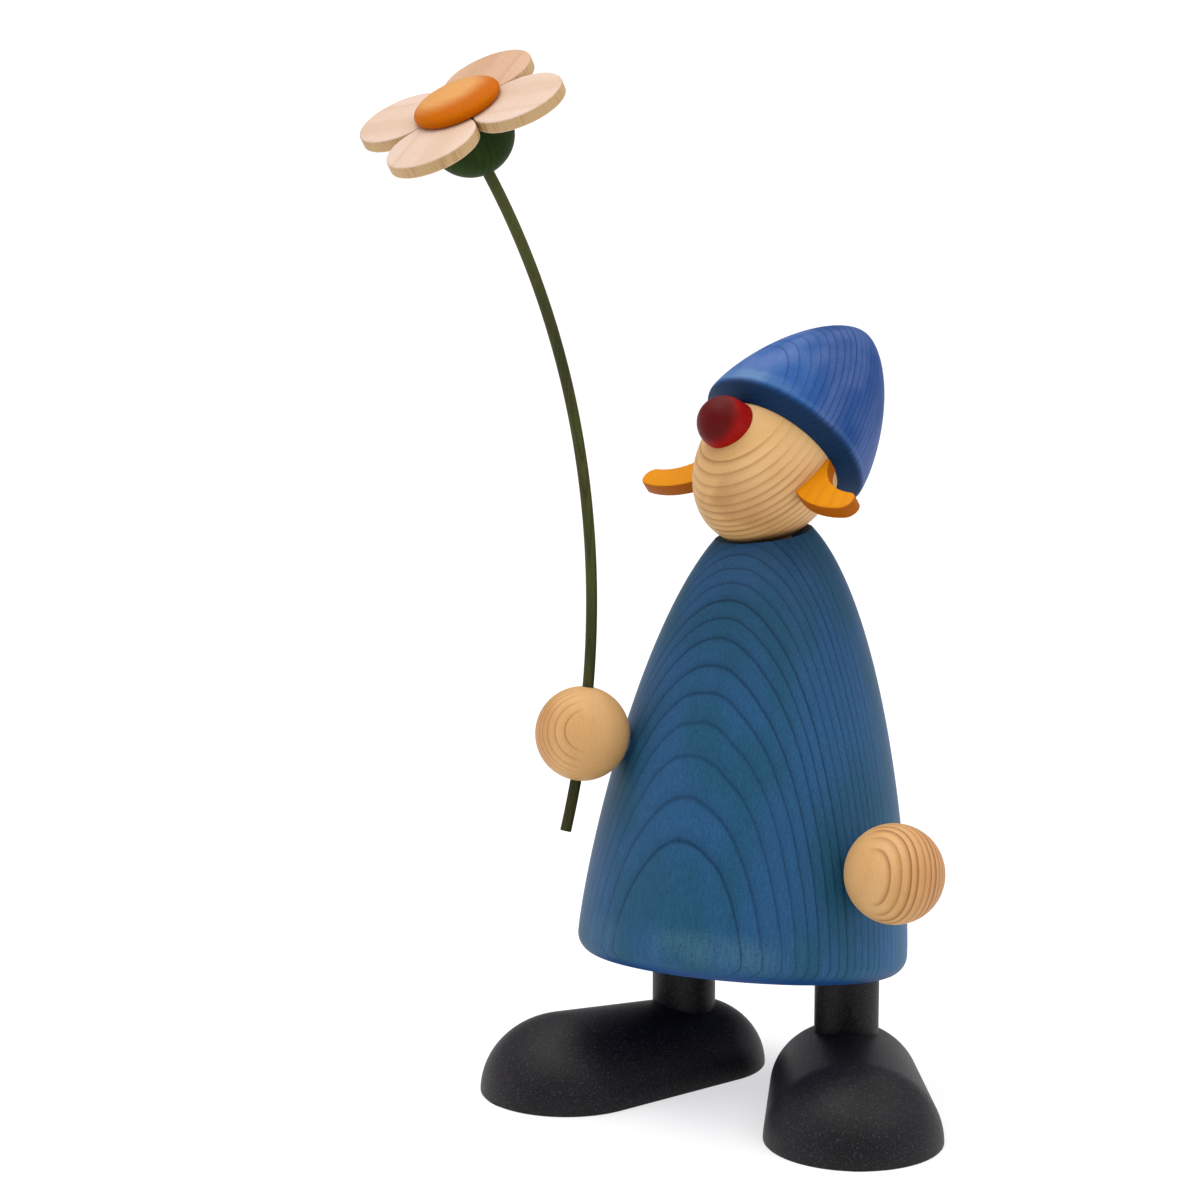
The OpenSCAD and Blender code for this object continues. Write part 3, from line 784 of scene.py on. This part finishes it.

# %% [markdown]
# Bare wood shows ovals where the rings lie flat to the surface, and crowded lines where the ball turns
# away. The pole is the way from a ball's middle to the heart of its ovals, and the pith lies behind it or
# before it. On each hand the lines show on the side away from the coat, so a slope across the ball lets
# them fade out. Painted shade also darkens that side towards the ball's edge.

# %% The hands' bare wood
# Ranges are in millimetres across a ball as the camera sees it, counted towards its lined side.
RAW_COLOURS = (stain(212, 168, 111), stain(205, 159, 101), stain(146, 88, 40))
RAW_SHINE = 0.25
RAW_MOTTLE = 0.4
RAW_ROUGHNESS = 0.5
# Painted shade towards the edge of a ball, and on the cap towards the camera's right.
LIMB_PAINTED_SHADE = 0.2
HAND_LIMB = 9.0
CAMERA_LEFT = -1
CAMERA_RIGHT = 1
RIGHT_HAND_RINGS = {"first": 68.6, "width": 1.2, "profile": THIN_LINE}
RIGHT_LINED_RANGE = (-1.0, 4.0)
RIGHT_PITH_BEHIND = 60.0
LEFT_HAND_RINGS = {"first": 9.8, "width": 2.05, "side": OUTWARDS, "crowd": 0.029}
LEFT_LINED_RANGE = (-6.0, -2.5)
LEFT_PITH_BEFORE = 18.0
right_pole = Vector((0.571, -0.774, 0.271)).normalized()
left_pole = Vector((-0.092, -0.981, 0.146)).normalized()


def upright_on(pole):
    """The direction that is as upright as it can be while it lies square to a pole."""
    return Vector((0, 0, 1)) - pole * pole.z


right_grain = pith_line(right_hand_at - right_pole * RIGHT_PITH_BEHIND, upright_on(right_pole))
left_grain = pith_line(left_hand_at + left_pole * LEFT_PITH_BEFORE, upright_on(left_pole))


def hand_finish(name, centre, grain, rings, lined_side, lined_range):
    """Bare wood with year lines on one side of a ball, and painted shade towards that side's edge."""
    material, shader, points = new_finish(name, RAW_SHINE)
    seen = Matrix.Translation(centre) @ turned("Z", CAMERA_AZIMUTH)
    across = part_of(in_frame(points, seen), 0) * lined_side
    fade = eased(across, *lined_range)
    colour, lines, streaks = wood_colour(points, grain, rings, RAW_COLOURS, RAW_MOTTLE, fade)
    # Painted shade towards the edge of the lined side.
    colour = shaded(colour, MIDDLE - eased(across, lined_range[1], HAND_LIMB) * LIMB_PAINTED_SHADE)
    dress_wood(shader, colour, streaks, lines, RAW_ROUGHNESS, BARE)
    return material


right_hand_wood = hand_finish("right_hand_wood", right_hand_at, right_grain, RIGHT_HAND_RINGS,
                              CAMERA_LEFT, RIGHT_LINED_RANGE)
left_hand_wood = hand_finish("left_hand_wood", left_hand_at, left_grain, LEFT_HAND_RINGS,
                             CAMERA_RIGHT, LEFT_LINED_RANGE)
put_in_place(right_hand_shape, "right_hand_bead", "right_hand", bore_frame, right_hand_wood)
put_in_place(left_hand_shape, "left_hand_ball", "left_hand", left_hand_frame, left_hand_wood)

# %% [markdown]
# ## Head and cap
# The head is an egg that leans back. The cap's outline goes over its top, round the thin brim, along the
# underside and back inside, where it follows the egg with a hair's gap, so one spin makes the whole
# shell.

# %% Head and cap
HEAD_ALONG = 103.8
HEAD_FORWARD = 1.9
HEAD_R = 14.6
HEAD_HALF = 19.4
HEAD_TILT = 39.8
CAP_R = 18.8
CAP_LENGTH = 31.1
CAP_UP = 5.7
CAP_SEAT = 2.5
CAP_FALL = 1.45
CAP_SWELL = 1.62
BRIM_ROUND = 1.2
TOUCH = 0.15

head_frame = (coat_frame @ turned("Z", -HEAD_TURN) @ moved(0, -HEAD_FORWARD, HEAD_ALONG)
              @ turned("X", -HEAD_TILT))
head_shape = on_lathe(arc((0, 0), HEAD_R, HEAD_HALF, arc_angles(-QUARTER, QUARTER, steps=72)))


def cap_radius(share):
    return CAP_R * max(0.0, 1 - share ** CAP_FALL) ** (1 / CAP_SWELL)


cap_shares = [math.cos(a) for a in arc_angles(0, QUARTER, steps=56)]
cap_under = QUARTER - math.atan((CAP_UP - CAP_SEAT) / (CAP_R - HEAD_R - TOUCH))
seat_angle = math.asin(CAP_SEAT / (HEAD_HALF + TOUCH))
cap_outline = [(cap_radius(share), CAP_UP + CAP_LENGTH * share) for share in cap_shares]
brim_angles = arc_angles(0, -cap_under, steps=8)[1:]
cap_outline += arc((CAP_R - BRIM_ROUND, CAP_UP), BRIM_ROUND, BRIM_ROUND, brim_angles)
cap_outline += arc((0, 0), HEAD_R + TOUCH, HEAD_HALF + TOUCH, arc_angles(seat_angle, QUARTER, steps=40))
cap_shape = on_lathe(cap_outline)
print("the cap's outline has", len(cap_outline), "points")

# %% [markdown]
# The head is bare wood with painted shade that makes it browner towards its low side, and its lines are
# weaker towards the cap. The cap's stain has a painted highlight along its lip and wear with a painted
# highlight over the brow, painted shade on the underside, and painted shade on the camera's right.

# %% Bare head and blue cap
# Ranges are in millimetres from the head's middle. Those of lip, brow and underside count from the brim.
HEAD_COLOURS = (stain(220, 180, 124), stain(210, 168, 108), stain(158, 108, 60))
# A browner colour as painted shade on the head's low side.
HEAD_LOW_SHADE = stain(184, 136, 84)
HEAD_LOW_SHADE_RANGE = (-14.0, 0.0)
HEAD_RINGS = {"first": 82.3, "width": 1.53}
HEAD_PITH_AT = Vector((-3.4, 70.7, -4.0))
HEAD_PITH_ALONG = Vector((0.376, 0.071, 0.924))
HEAD_SLOPE = 37
LINE_FADE = 0.75
LINE_FADE_RANGE = (-2.0, 9.0)

CAP_COLOURS = (stain(40, 84, 146), stain(78, 106, 160), stain(22, 54, 102))
# The two underside colours are painted shade, the second for the year lines within it.
CAP_UNDER_SHADE = stain(17, 47, 81)
CAP_UNDER_SHADE_LINE = stain(8, 30, 48)
# A pale colour for a painted highlight along the lip, and for wear with a painted highlight over the brow.
CAP_WEAR_AND_HIGHLIGHT = stain(104, 142, 176)
CAP_RINGS = {"first": 166.0, "width": 1.25, "profile": THIN_LINE}
CAP_PITH_BEHIND = 150
CAP_LIGHT = 0.54
CAP_LIMB_RANGE = (3.0, 14.0)
CAP_FRONT_RANGE = (0.6 * CAP_R, 0.98 * CAP_R)
PATCH_SCALE = 0.16
PATCH_RANGE = (0.38, 0.62)
LEAST_WEAR_AND_HIGHLIGHT = 0.4
LIP_UP = 0.4
LIP_RANGE = (0.1, 0.9)
LIP_HIGHLIGHT = 0.15
BROW_UP = 1.4
BROW_RANGE = (0.4, 2.0)
BROW_WEAR_AND_HIGHLIGHT = 0.55
UNDER_SHADE_RANGE = (-1.2, 0.3)
UNDER_SHADE_LINES = 0.6

head_grain = head_frame @ pith_line(HEAD_PITH_AT, HEAD_PITH_ALONG)
cap_grain = head_frame @ moved(0, CAP_PITH_BEHIND, 0)
head_seen = Matrix.Translation(head_frame.translation) @ turned("Z", CAMERA_AZIMUTH)
head_slope = head_seen @ turned("Y", HEAD_SLOPE)


def head_finish():
    material, shader, points = new_finish("head_wood", RAW_SHINE)
    height = part_of(in_frame(points, head_slope), 2)
    fade = 1 - eased(height, *LINE_FADE_RANGE) * LINE_FADE
    # Painted shade makes the low side browner.
    pale = mixed(eased(height, *HEAD_LOW_SHADE_RANGE), HEAD_LOW_SHADE, HEAD_COLOURS[0])
    colours = (pale, *HEAD_COLOURS[1:])
    colour, lines, streaks = wood_colour(points, head_grain, HEAD_RINGS, colours, RAW_MOTTLE, fade)
    dress_wood(shader, colour, streaks, lines, RAW_ROUGHNESS, BARE)
    return material


def cap_finish():
    material, shader, points = new_finish("cap_stain", shine=0.08)
    colour, lines, streaks = wood_colour(points, cap_grain, CAP_RINGS, CAP_COLOURS, mottle=0.6)
    across = part_of(in_frame(points, head_seen), 0)
    # Painted shade towards the camera's right.
    colour = shaded(colour, CAP_LIGHT - eased(across, *CAP_LIMB_RANGE) * LIMB_PAINTED_SHADE)
    place = in_frame(points, head_frame)
    above = part_of(place, 2) - CAP_UP
    patches = eased(cloudy(place, PATCH_SCALE, detail=4.0), *PATCH_RANGE)
    front = eased(0 - part_of(place, 1), *CAP_FRONT_RANGE)
    # Painted highlight along the lip; wear and painted highlight over the brow.
    lip = near(above, LIP_UP, LIP_RANGE)
    brow = near(above, BROW_UP, BROW_RANGE) * front
    worn = (lip * LIP_HIGHLIGHT + brow * BROW_WEAR_AND_HIGHLIGHT) * (LEAST_WEAR_AND_HIGHLIGHT + patches * (1 - LEAST_WEAR_AND_HIGHLIGHT))
    colour = mixed(worn, colour, CAP_WEAR_AND_HIGHLIGHT)
    # Painted shade on the underside of the brim, with darker year lines in it.
    under_shade = mixed(lines * UNDER_SHADE_LINES, CAP_UNDER_SHADE, CAP_UNDER_SHADE_LINE)
    colour = mixed(1 - eased(above, *UNDER_SHADE_RANGE), colour, under_shade)
    dress_wood(shader, colour, streaks, lines, roughness=0.52, surface=STAINED)
    return material


put_in_place(head_shape, "head_egg", "head", head_frame, head_finish())
put_in_place(cap_shape, "cap_shell", "cap", head_frame, cap_finish())

# %% [markdown]
# ## Nose and ears
# The nose is a round-ended peg in a drilled hole. Its fibres run along the peg, so the round end is end
# grain, which drinks more stain and turns dark.

# %% Nose
NOSE_R = 5.5
NOSE_REACH = 22.0
NOSE_ROOT = 8.0
NOSE_SPIN = 2.5
NOSE_UP = 2.4
NOSE_DIP = 22.2
nose_frame = head_frame @ turned("Z", NOSE_SPIN) @ moved(0, 0, NOSE_UP) @ turned("X", 90 + NOSE_DIP)
nose_outline = [(0, NOSE_ROOT), (NOSE_R, NOSE_ROOT)]
nose_outline += arc((0, NOSE_REACH - NOSE_R), NOSE_R, NOSE_R, arc_angles(0, QUARTER, steps=24))
nose_shape = on_lathe(nose_outline, steps=96)

NOSE_SIDE = stain(152, 12, 10)
NOSE_SIDE_DARK = stain(122, 9, 9)
NOSE_END = stain(86, 12, 12)
NOSE_END_RANGE = (NOSE_REACH - 0.9 * NOSE_R, NOSE_REACH - 0.4 * NOSE_R)
NOSE_RINGS = {"first": 18.0, "width": 1.2}
NOSE_PITH_AT = (13, 4, 0)
NOSE_LINES = 0.5
END_STAIN = 0.85
END_STREAKS = 0.2
SATIN_SHINE = 0.1
SATIN_ROUGHNESS = 0.45


def nose_finish():
    material, shader, points = new_finish("nose_stain", SATIN_SHINE)
    local = in_frame(points, nose_frame)
    lines = year_lines(in_frame(points, nose_frame @ moved(*NOSE_PITH_AT)), **NOSE_RINGS)
    streaks = fibres(local)
    end_grain = eased(part_of(local, 2), *NOSE_END_RANGE)
    side = mixed(lines * NOSE_LINES, NOSE_SIDE, NOSE_SIDE_DARK)
    colour = mixed(end_grain * (END_STAIN + streaks * END_STREAKS), side, NOSE_END)
    dress_wood(shader, colour, streaks, lines, SATIN_ROUGHNESS, FINE)
    return material


put_in_place(nose_shape, "nose_peg", "nose", nose_frame, nose_finish())

# %% [markdown]
# The ears are flat plates in slots, and each narrows to a round tip. One point is carried along three
# arcs that run into each other, the loop is closed and filled, and the face is pushed out to a plate.
# Their cut edges are darker than their faces, partly in their own colour and partly as painted shade.

# %% Ears
EAR_INNER = 12.6
EAR_OUTER = 19.6
EAR_THICK = 2.9
EAR_OUT = 13.3
EAR_UP = 6.5
EAR_TAPER = Vector((-2.9, 2.0, 0))
EAR_INNER_AT = Vector((HEAD_R + EAR_OUT, EAR_UP, 0))
EAR_OUTER_AT = EAR_INNER_AT + EAR_TAPER
EAR_DEEP = 4.6
EAR_ROOT = HEAD_R - EAR_DEEP
EAR_AHEAD = 0.1
EAR_LEAN = 4.9
EAR_FROM = 200.0
EAR_TO = 270.5
EAR_EDGE = 0.3
EAR_SPIN = 4.0
EAR_ASIDE = 0.7

EAR_COLOURS = (stain(216, 139, 2), stain(210, 132, 2), stain(204, 124, 2))
# The cut edge colour holds painted shade as well as the edge's own darker colour.
EAR_CUT_AND_SHADE = stain(162, 86, 0)
EAR_CUT_SHADE_RANGE = (EAR_THICK / 2 - 0.2, EAR_THICK / 2)
EAR_RINGS = {"first": 40.0, "width": 1.7}
EAR_PITH_AT = (26, -4, -30)
EAR_PITH_TURN = 60


def towards(degrees):
    return turned("Z", degrees) @ Vector((1, 0, 0))


ear_apart = EAR_INNER_AT - EAR_OUTER_AT
apart_at_tip = ear_apart.dot(towards(EAR_TO))
ear_tip_r = (EAR_OUTER ** 2 - EAR_INNER ** 2 - ear_apart.length_squared - 2 * EAR_INNER * apart_at_tip)
ear_tip_r /= 2 * (EAR_OUTER + EAR_INNER + apart_at_tip)
ear_tip_at = EAR_INNER_AT + (EAR_INNER + ear_tip_r) * towards(EAR_TO)
tip_away = ear_tip_at - EAR_OUTER_AT
ear_tip_from = 360 + math.degrees(math.atan2(tip_away.y, tip_away.x))
ear_low = 180 + math.degrees(math.acos((EAR_OUTER_AT.x - EAR_ROOT) / EAR_OUTER))
ear_sweeps = ((EAR_OUTER_AT, ear_tip_from - ear_low, 32), (ear_tip_at, EAR_TO + 180 - ear_tip_from, 20),
              (EAR_INNER_AT, EAR_FROM - EAR_TO, 32))


def ear_shape():
    shape = bmesh.new()
    first = shape.verts.new(EAR_OUTER_AT + EAR_OUTER * towards(ear_low))
    last = first
    for centre, angle, steps in ear_sweeps:
        swept = bmesh.ops.spin(shape, geom=[last], cent=centre, axis=(0, 0, 1),
                               angle=math.radians(angle), steps=steps)
        last = next(part for part in swept["geom_last"] if isinstance(part, bmesh.types.BMVert))
    corner = shape.verts.new((EAR_ROOT, last.co.y, 0))
    shape.edges.new((last, corner))
    shape.edges.new((corner, first))
    bmesh.ops.edgeloop_fill(shape, edges=shape.edges)
    push = bmesh.ops.extrude_face_region(shape, geom=list(shape.faces))
    top = [part for part in push["geom"] if isinstance(part, bmesh.types.BMVert)]
    bmesh.ops.translate(shape, verts=top, vec=(0, 0, EAR_THICK))
    bmesh.ops.recalc_face_normals(shape, faces=shape.faces)
    soften(shape, EAR_EDGE, SQUARE_ANGLE)
    return shape


def ear_finish(name, ear_frame):
    material, shader, points = new_finish(name, SATIN_SHINE)
    # The cut edge's own darker colour, with painted shade in it.
    cut = near(part_of(in_frame(points, ear_frame), 2), EAR_THICK / 2, EAR_CUT_SHADE_RANGE)
    grain = ear_frame @ moved(*EAR_PITH_AT) @ turned("Y", EAR_PITH_TURN)
    face, lines, streaks = wood_colour(points, grain, EAR_RINGS, EAR_COLOURS, mottle=0.4)
    dress_wood(shader, mixed(cut, face, EAR_CUT_AND_SHADE), streaks, lines, SATIN_ROUGHNESS, FINE)
    return material


ears_frame = head_frame @ turned("Z", EAR_SPIN) @ moved(-EAR_ASIDE, 0, 0)
for side, hand in SIDES:
    flip = Matrix.Diagonal((side, 1, 1, 1))
    plate = turned("X", 90 - EAR_LEAN) @ moved(0, 0, EAR_AHEAD - EAR_THICK)
    ear_frame = ears_frame @ flip @ plate
    ear_stain = ear_finish(hand + "_ear_stain", ear_frame @ flip)
    put_in_place(ear_shape(), hand + "_ear_plate", hand + "_ear", ear_frame, ear_stain)

# %% [markdown]
# ## The flower
# The stem is one even bend, so a circle of points is spun part of a turn about the bend's centre. It runs
# through the hand and on into the calyx, a small ball with a flat top. Four separate discs lie on that
# flat, and a low domed button holds them down.

# %% Stem and calyx
STEM_BELOW = 20.2
STEM_ABOVE = 119.7
STEM_IN_CALYX = 5.8
STEM_EDGE = 0.15
FLOWER_LEAN = 30.2
FLOWER_SIDE = 17.4
CALYX_R = 8.3
CALYX_DEPTH = 7.7
CALYX_CROWN = 3.95


def bend_angle(length):
    return math.degrees(length / STEM_BEND)


stem_start = -STEM_LEAN - bend_angle(STEM_BELOW)
stem_end = -STEM_LEAN + bend_angle(STEM_ABOVE)
stem_sweep = stem_end + bend_angle(STEM_IN_CALYX) - stem_start
stem_shape = bmesh.new()
stem_ring = bmesh.ops.create_circle(stem_shape, segments=28, radius=STEM_R, cap_ends=False)["verts"]
bmesh.ops.transform(stem_shape, matrix=moved(STEM_BEND, 0, 0) @ turned("X", 90), verts=stem_ring)
bmesh.ops.spin(stem_shape, geom=list(stem_shape.verts) + list(stem_shape.edges), cent=(0, 0, 0),
               axis=(0, 0, 1), angle=math.radians(stem_sweep), steps=160)
bmesh.ops.holes_fill(stem_shape, edges=[edge for edge in stem_shape.edges if edge.is_boundary], sides=0)
bmesh.ops.recalc_face_normals(stem_shape, faces=stem_shape.faces)
soften(stem_shape, STEM_EDGE, SQUARE_ANGLE)

flower_at = stem_frame @ turned("Z", stem_end) @ Vector((STEM_BEND, 0, 0))
flower_frame = Matrix.Translation(flower_at) @ turned("Z", -FLOWER_SIDE) @ turned("X", FLOWER_LEAN)
calyx_height = CALYX_DEPTH + CALYX_CROWN
calyx_outline = [(0, calyx_height)]
calyx_angles = arc_angles(math.asin(CALYX_CROWN / CALYX_DEPTH), -QUARTER, steps=48)
calyx_outline += arc((0, CALYX_DEPTH), CALYX_R, CALYX_DEPTH, calyx_angles)
calyx_shape = on_lathe(calyx_outline, steps=96)

STEM_COLOURS = (stain(68, 72, 32), stain(54, 55, 27), stain(36, 38, 18))
CALYX_COLOURS = (stain(40, 56, 18), stain(28, 46, 18), stain(28, 42, 16))
STEM_RINGS = {"first": 6.0, "width": 0.9, "wander": 3.0}
CALYX_RINGS = {"first": 30.0, "width": 1.3}
STEM_PITH_FROM_HAND = Vector((2, -3, 0))
CALYX_PITH_AT = (8, 20, 0)
stem_grain = Matrix.Translation(right_hand_at + STEM_PITH_FROM_HAND)
calyx_grain = flower_frame @ moved(*CALYX_PITH_AT)
stem_stain = wood_finish("stem_stain", stem_grain, STEM_RINGS, STEM_COLOURS,
                         roughness=0.55, mottle=0.9, shine=0.12)
calyx_stain = wood_finish("calyx_stain", calyx_grain, CALYX_RINGS, CALYX_COLOURS,
                          roughness=0.55, mottle=0.8, shine=0.04)
put_in_place(stem_shape, "stem_rod", "stem", stem_frame @ turned("Z", stem_start), stem_stain)
put_in_place(calyx_shape, "calyx_cup", "calyx", flower_frame, calyx_stain)

# %% [markdown]
# Each petal is a disc of pale wood, with straight grain along its own radius. Its edge shows the cut
# across the fibres, which is yellower and streaked. The petal at the back gets browner wood, as it is in
# the photograph.

# %% Petals
PETAL_R = 9.1
PETAL_THICK = 2.5
PETAL_GAP = 0.2
PETAL_EDGE = 0.35
FLOWER_ROLL = 18.0

PETAL_COLOURS = (stain(212, 187, 169), stain(209, 182, 160), stain(201, 171, 146))
PETAL_BACK_COLOURS = (stain(199, 163, 132), stain(196, 158, 127), stain(186, 146, 112))
PETAL_CUT = stain(188, 156, 110)
PETAL_CUT_DARK = stain(150, 110, 66)
PETAL_CUT_RANGE = (PETAL_THICK / 2 - 0.35, PETAL_THICK / 2 - 0.05)
PETAL_RINGS = {"first": 24.0, "width": 1.5}
PETAL_PITH_AT = (0, 3, -20)
FLECK_STRETCH = (1.3, 1.3, 0.12)
FLECK_RANGE = (0.5, 0.75)
FLECK_STRENGTH = 0.85
petal_out = (PETAL_R + PETAL_GAP / 2) * math.sqrt(2)


def petal_finish(name, petal_frame, colours):
    material, shader, points = new_finish(name, shine=0.3)
    grain = petal_frame @ moved(*PETAL_PITH_AT) @ turned("Y", 90)
    face, lines, streaks = wood_colour(points, grain, PETAL_RINGS, colours, mottle=0.55)
    place = in_frame(points, petal_frame)
    cut = near(part_of(place, 2), PETAL_THICK / 2, PETAL_CUT_RANGE)
    flecks = eased(cloudy(scaled(place, FLECK_STRETCH), 1.0, detail=3.0), *FLECK_RANGE)
    edge = mixed(flecks * FLECK_STRENGTH, PETAL_CUT, PETAL_CUT_DARK)
    dress_wood(shader, mixed(cut, face, edge), streaks, lines, roughness=0.55, surface=FINE)
    return material


for i, name in enumerate(("petal_right", "petal_back", "petal_left", "petal_front")):
    petal_frame = flower_frame @ turned("Z", FLOWER_ROLL + 90 * i) @ moved(petal_out, 0, calyx_height)
    petal_shape = on_lathe(rod(PETAL_R, 0, PETAL_THICK), steps=96)
    soften(petal_shape, PETAL_EDGE)
    colours = PETAL_BACK_COLOURS if name == "petal_back" else PETAL_COLOURS
    petal_wood = petal_finish(name + "_wood", petal_frame, colours)
    put_in_place(petal_shape, name + "_disc", name, petal_frame, petal_wood)

# %% [markdown]
# The button flares out from a smaller foot and ends in a low dome. Its orange stain carries a painted
# sheen, palest a little beside the middle, and is deeper round the rim, so the distance from the sheen's
# centre decides the colour.

# %% Button
BUTTON_R = 8.75
BUTTON_FOOT = 7.8
BUTTON_WAIST = 1.15
BUTTON_HEIGHT = 3.55
# The pale top colour is a painted sheen.
BUTTON_SHEEN = stain(207, 150, 88)
BUTTON_RIM = stain(184, 95, 0)
BUTTON_RIM_RANGE = (0.55 * BUTTON_R, 1.05 * BUTTON_R)
BUTTON_SHEEN_AT = (-2.5, 1, 0)
BUTTON_PITH_BELOW = 25
BUTTON_FIBRES = 0.6
BUTTON_ROUGHNESS = 0.38
BUTTON_UNEVEN = 0.15

button_frame = flower_frame @ moved(0, 0, calyx_height + PETAL_THICK)
waist_angles = arc_angles(-QUARTER, 0, steps=8)
dome_angles = arc_angles(0, QUARTER, steps=32)[1:]
button_outline = [(0, 0)]
button_outline += arc((BUTTON_FOOT, BUTTON_WAIST), BUTTON_R - BUTTON_FOOT, BUTTON_WAIST, waist_angles)
button_outline += arc((0, BUTTON_WAIST), BUTTON_R, BUTTON_HEIGHT - BUTTON_WAIST, dome_angles)
button_shape = on_lathe(button_outline, steps=96)


def button_finish():
    material, shader, points = new_finish("button_stain", shine=0.03)
    # A painted sheen beside the middle, fading to the stain's deeper colour round the rim.
    from_sheen = from_axis(in_frame(points, button_frame @ moved(*BUTTON_SHEEN_AT)))
    rim = eased(from_sheen, *BUTTON_RIM_RANGE)
    grain = in_frame(points, button_frame @ moved(0, 0, -BUTTON_PITH_BELOW) @ turned("Y", 90))
    streaks = fibres(grain) * BUTTON_FIBRES + specks(grain) * (1 - BUTTON_FIBRES)
    colour = mottled(mixed(rim, BUTTON_SHEEN, BUTTON_RIM), streaks, mottle=0.6)
    dress(shader, colour, BUTTON_ROUGHNESS + (streaks - MIDDLE) * BUTTON_UNEVEN, streaks)
    return material


put_in_place(button_shape, "button_dome", "flower_button", button_frame, button_finish())

# %% [markdown]
# ## Hidden dowels
# The dowels inside keep their CAD shape, because next to nothing of them shows. They are bare wood, but
# those of the hands get the coat's stain, since a sliver of them can be seen between a hand and the coat.

# %% Hidden dowels
DOWEL_RINGS = {"first": 60.0, "width": 1.5}
DOWEL_PITH_AT = (20, 5, 0)
dowel_wood = wood_finish("dowel_wood", ground @ moved(*DOWEL_PITH_AT), DOWEL_RINGS, RAW_COLOURS,
                         roughness=0.55, mottle=0.4, shine=0.3)
for name in ("neck_dowel", "cap_dowel", "right_hand_dowel", "left_hand_dowel", "flower_pin"):
    dowel = frame["nodes"][name].data
    dowel.materials.clear()
    dowel.materials.append(coat_stain if "hand" in name else dowel_wood)
print("dowels dressed")
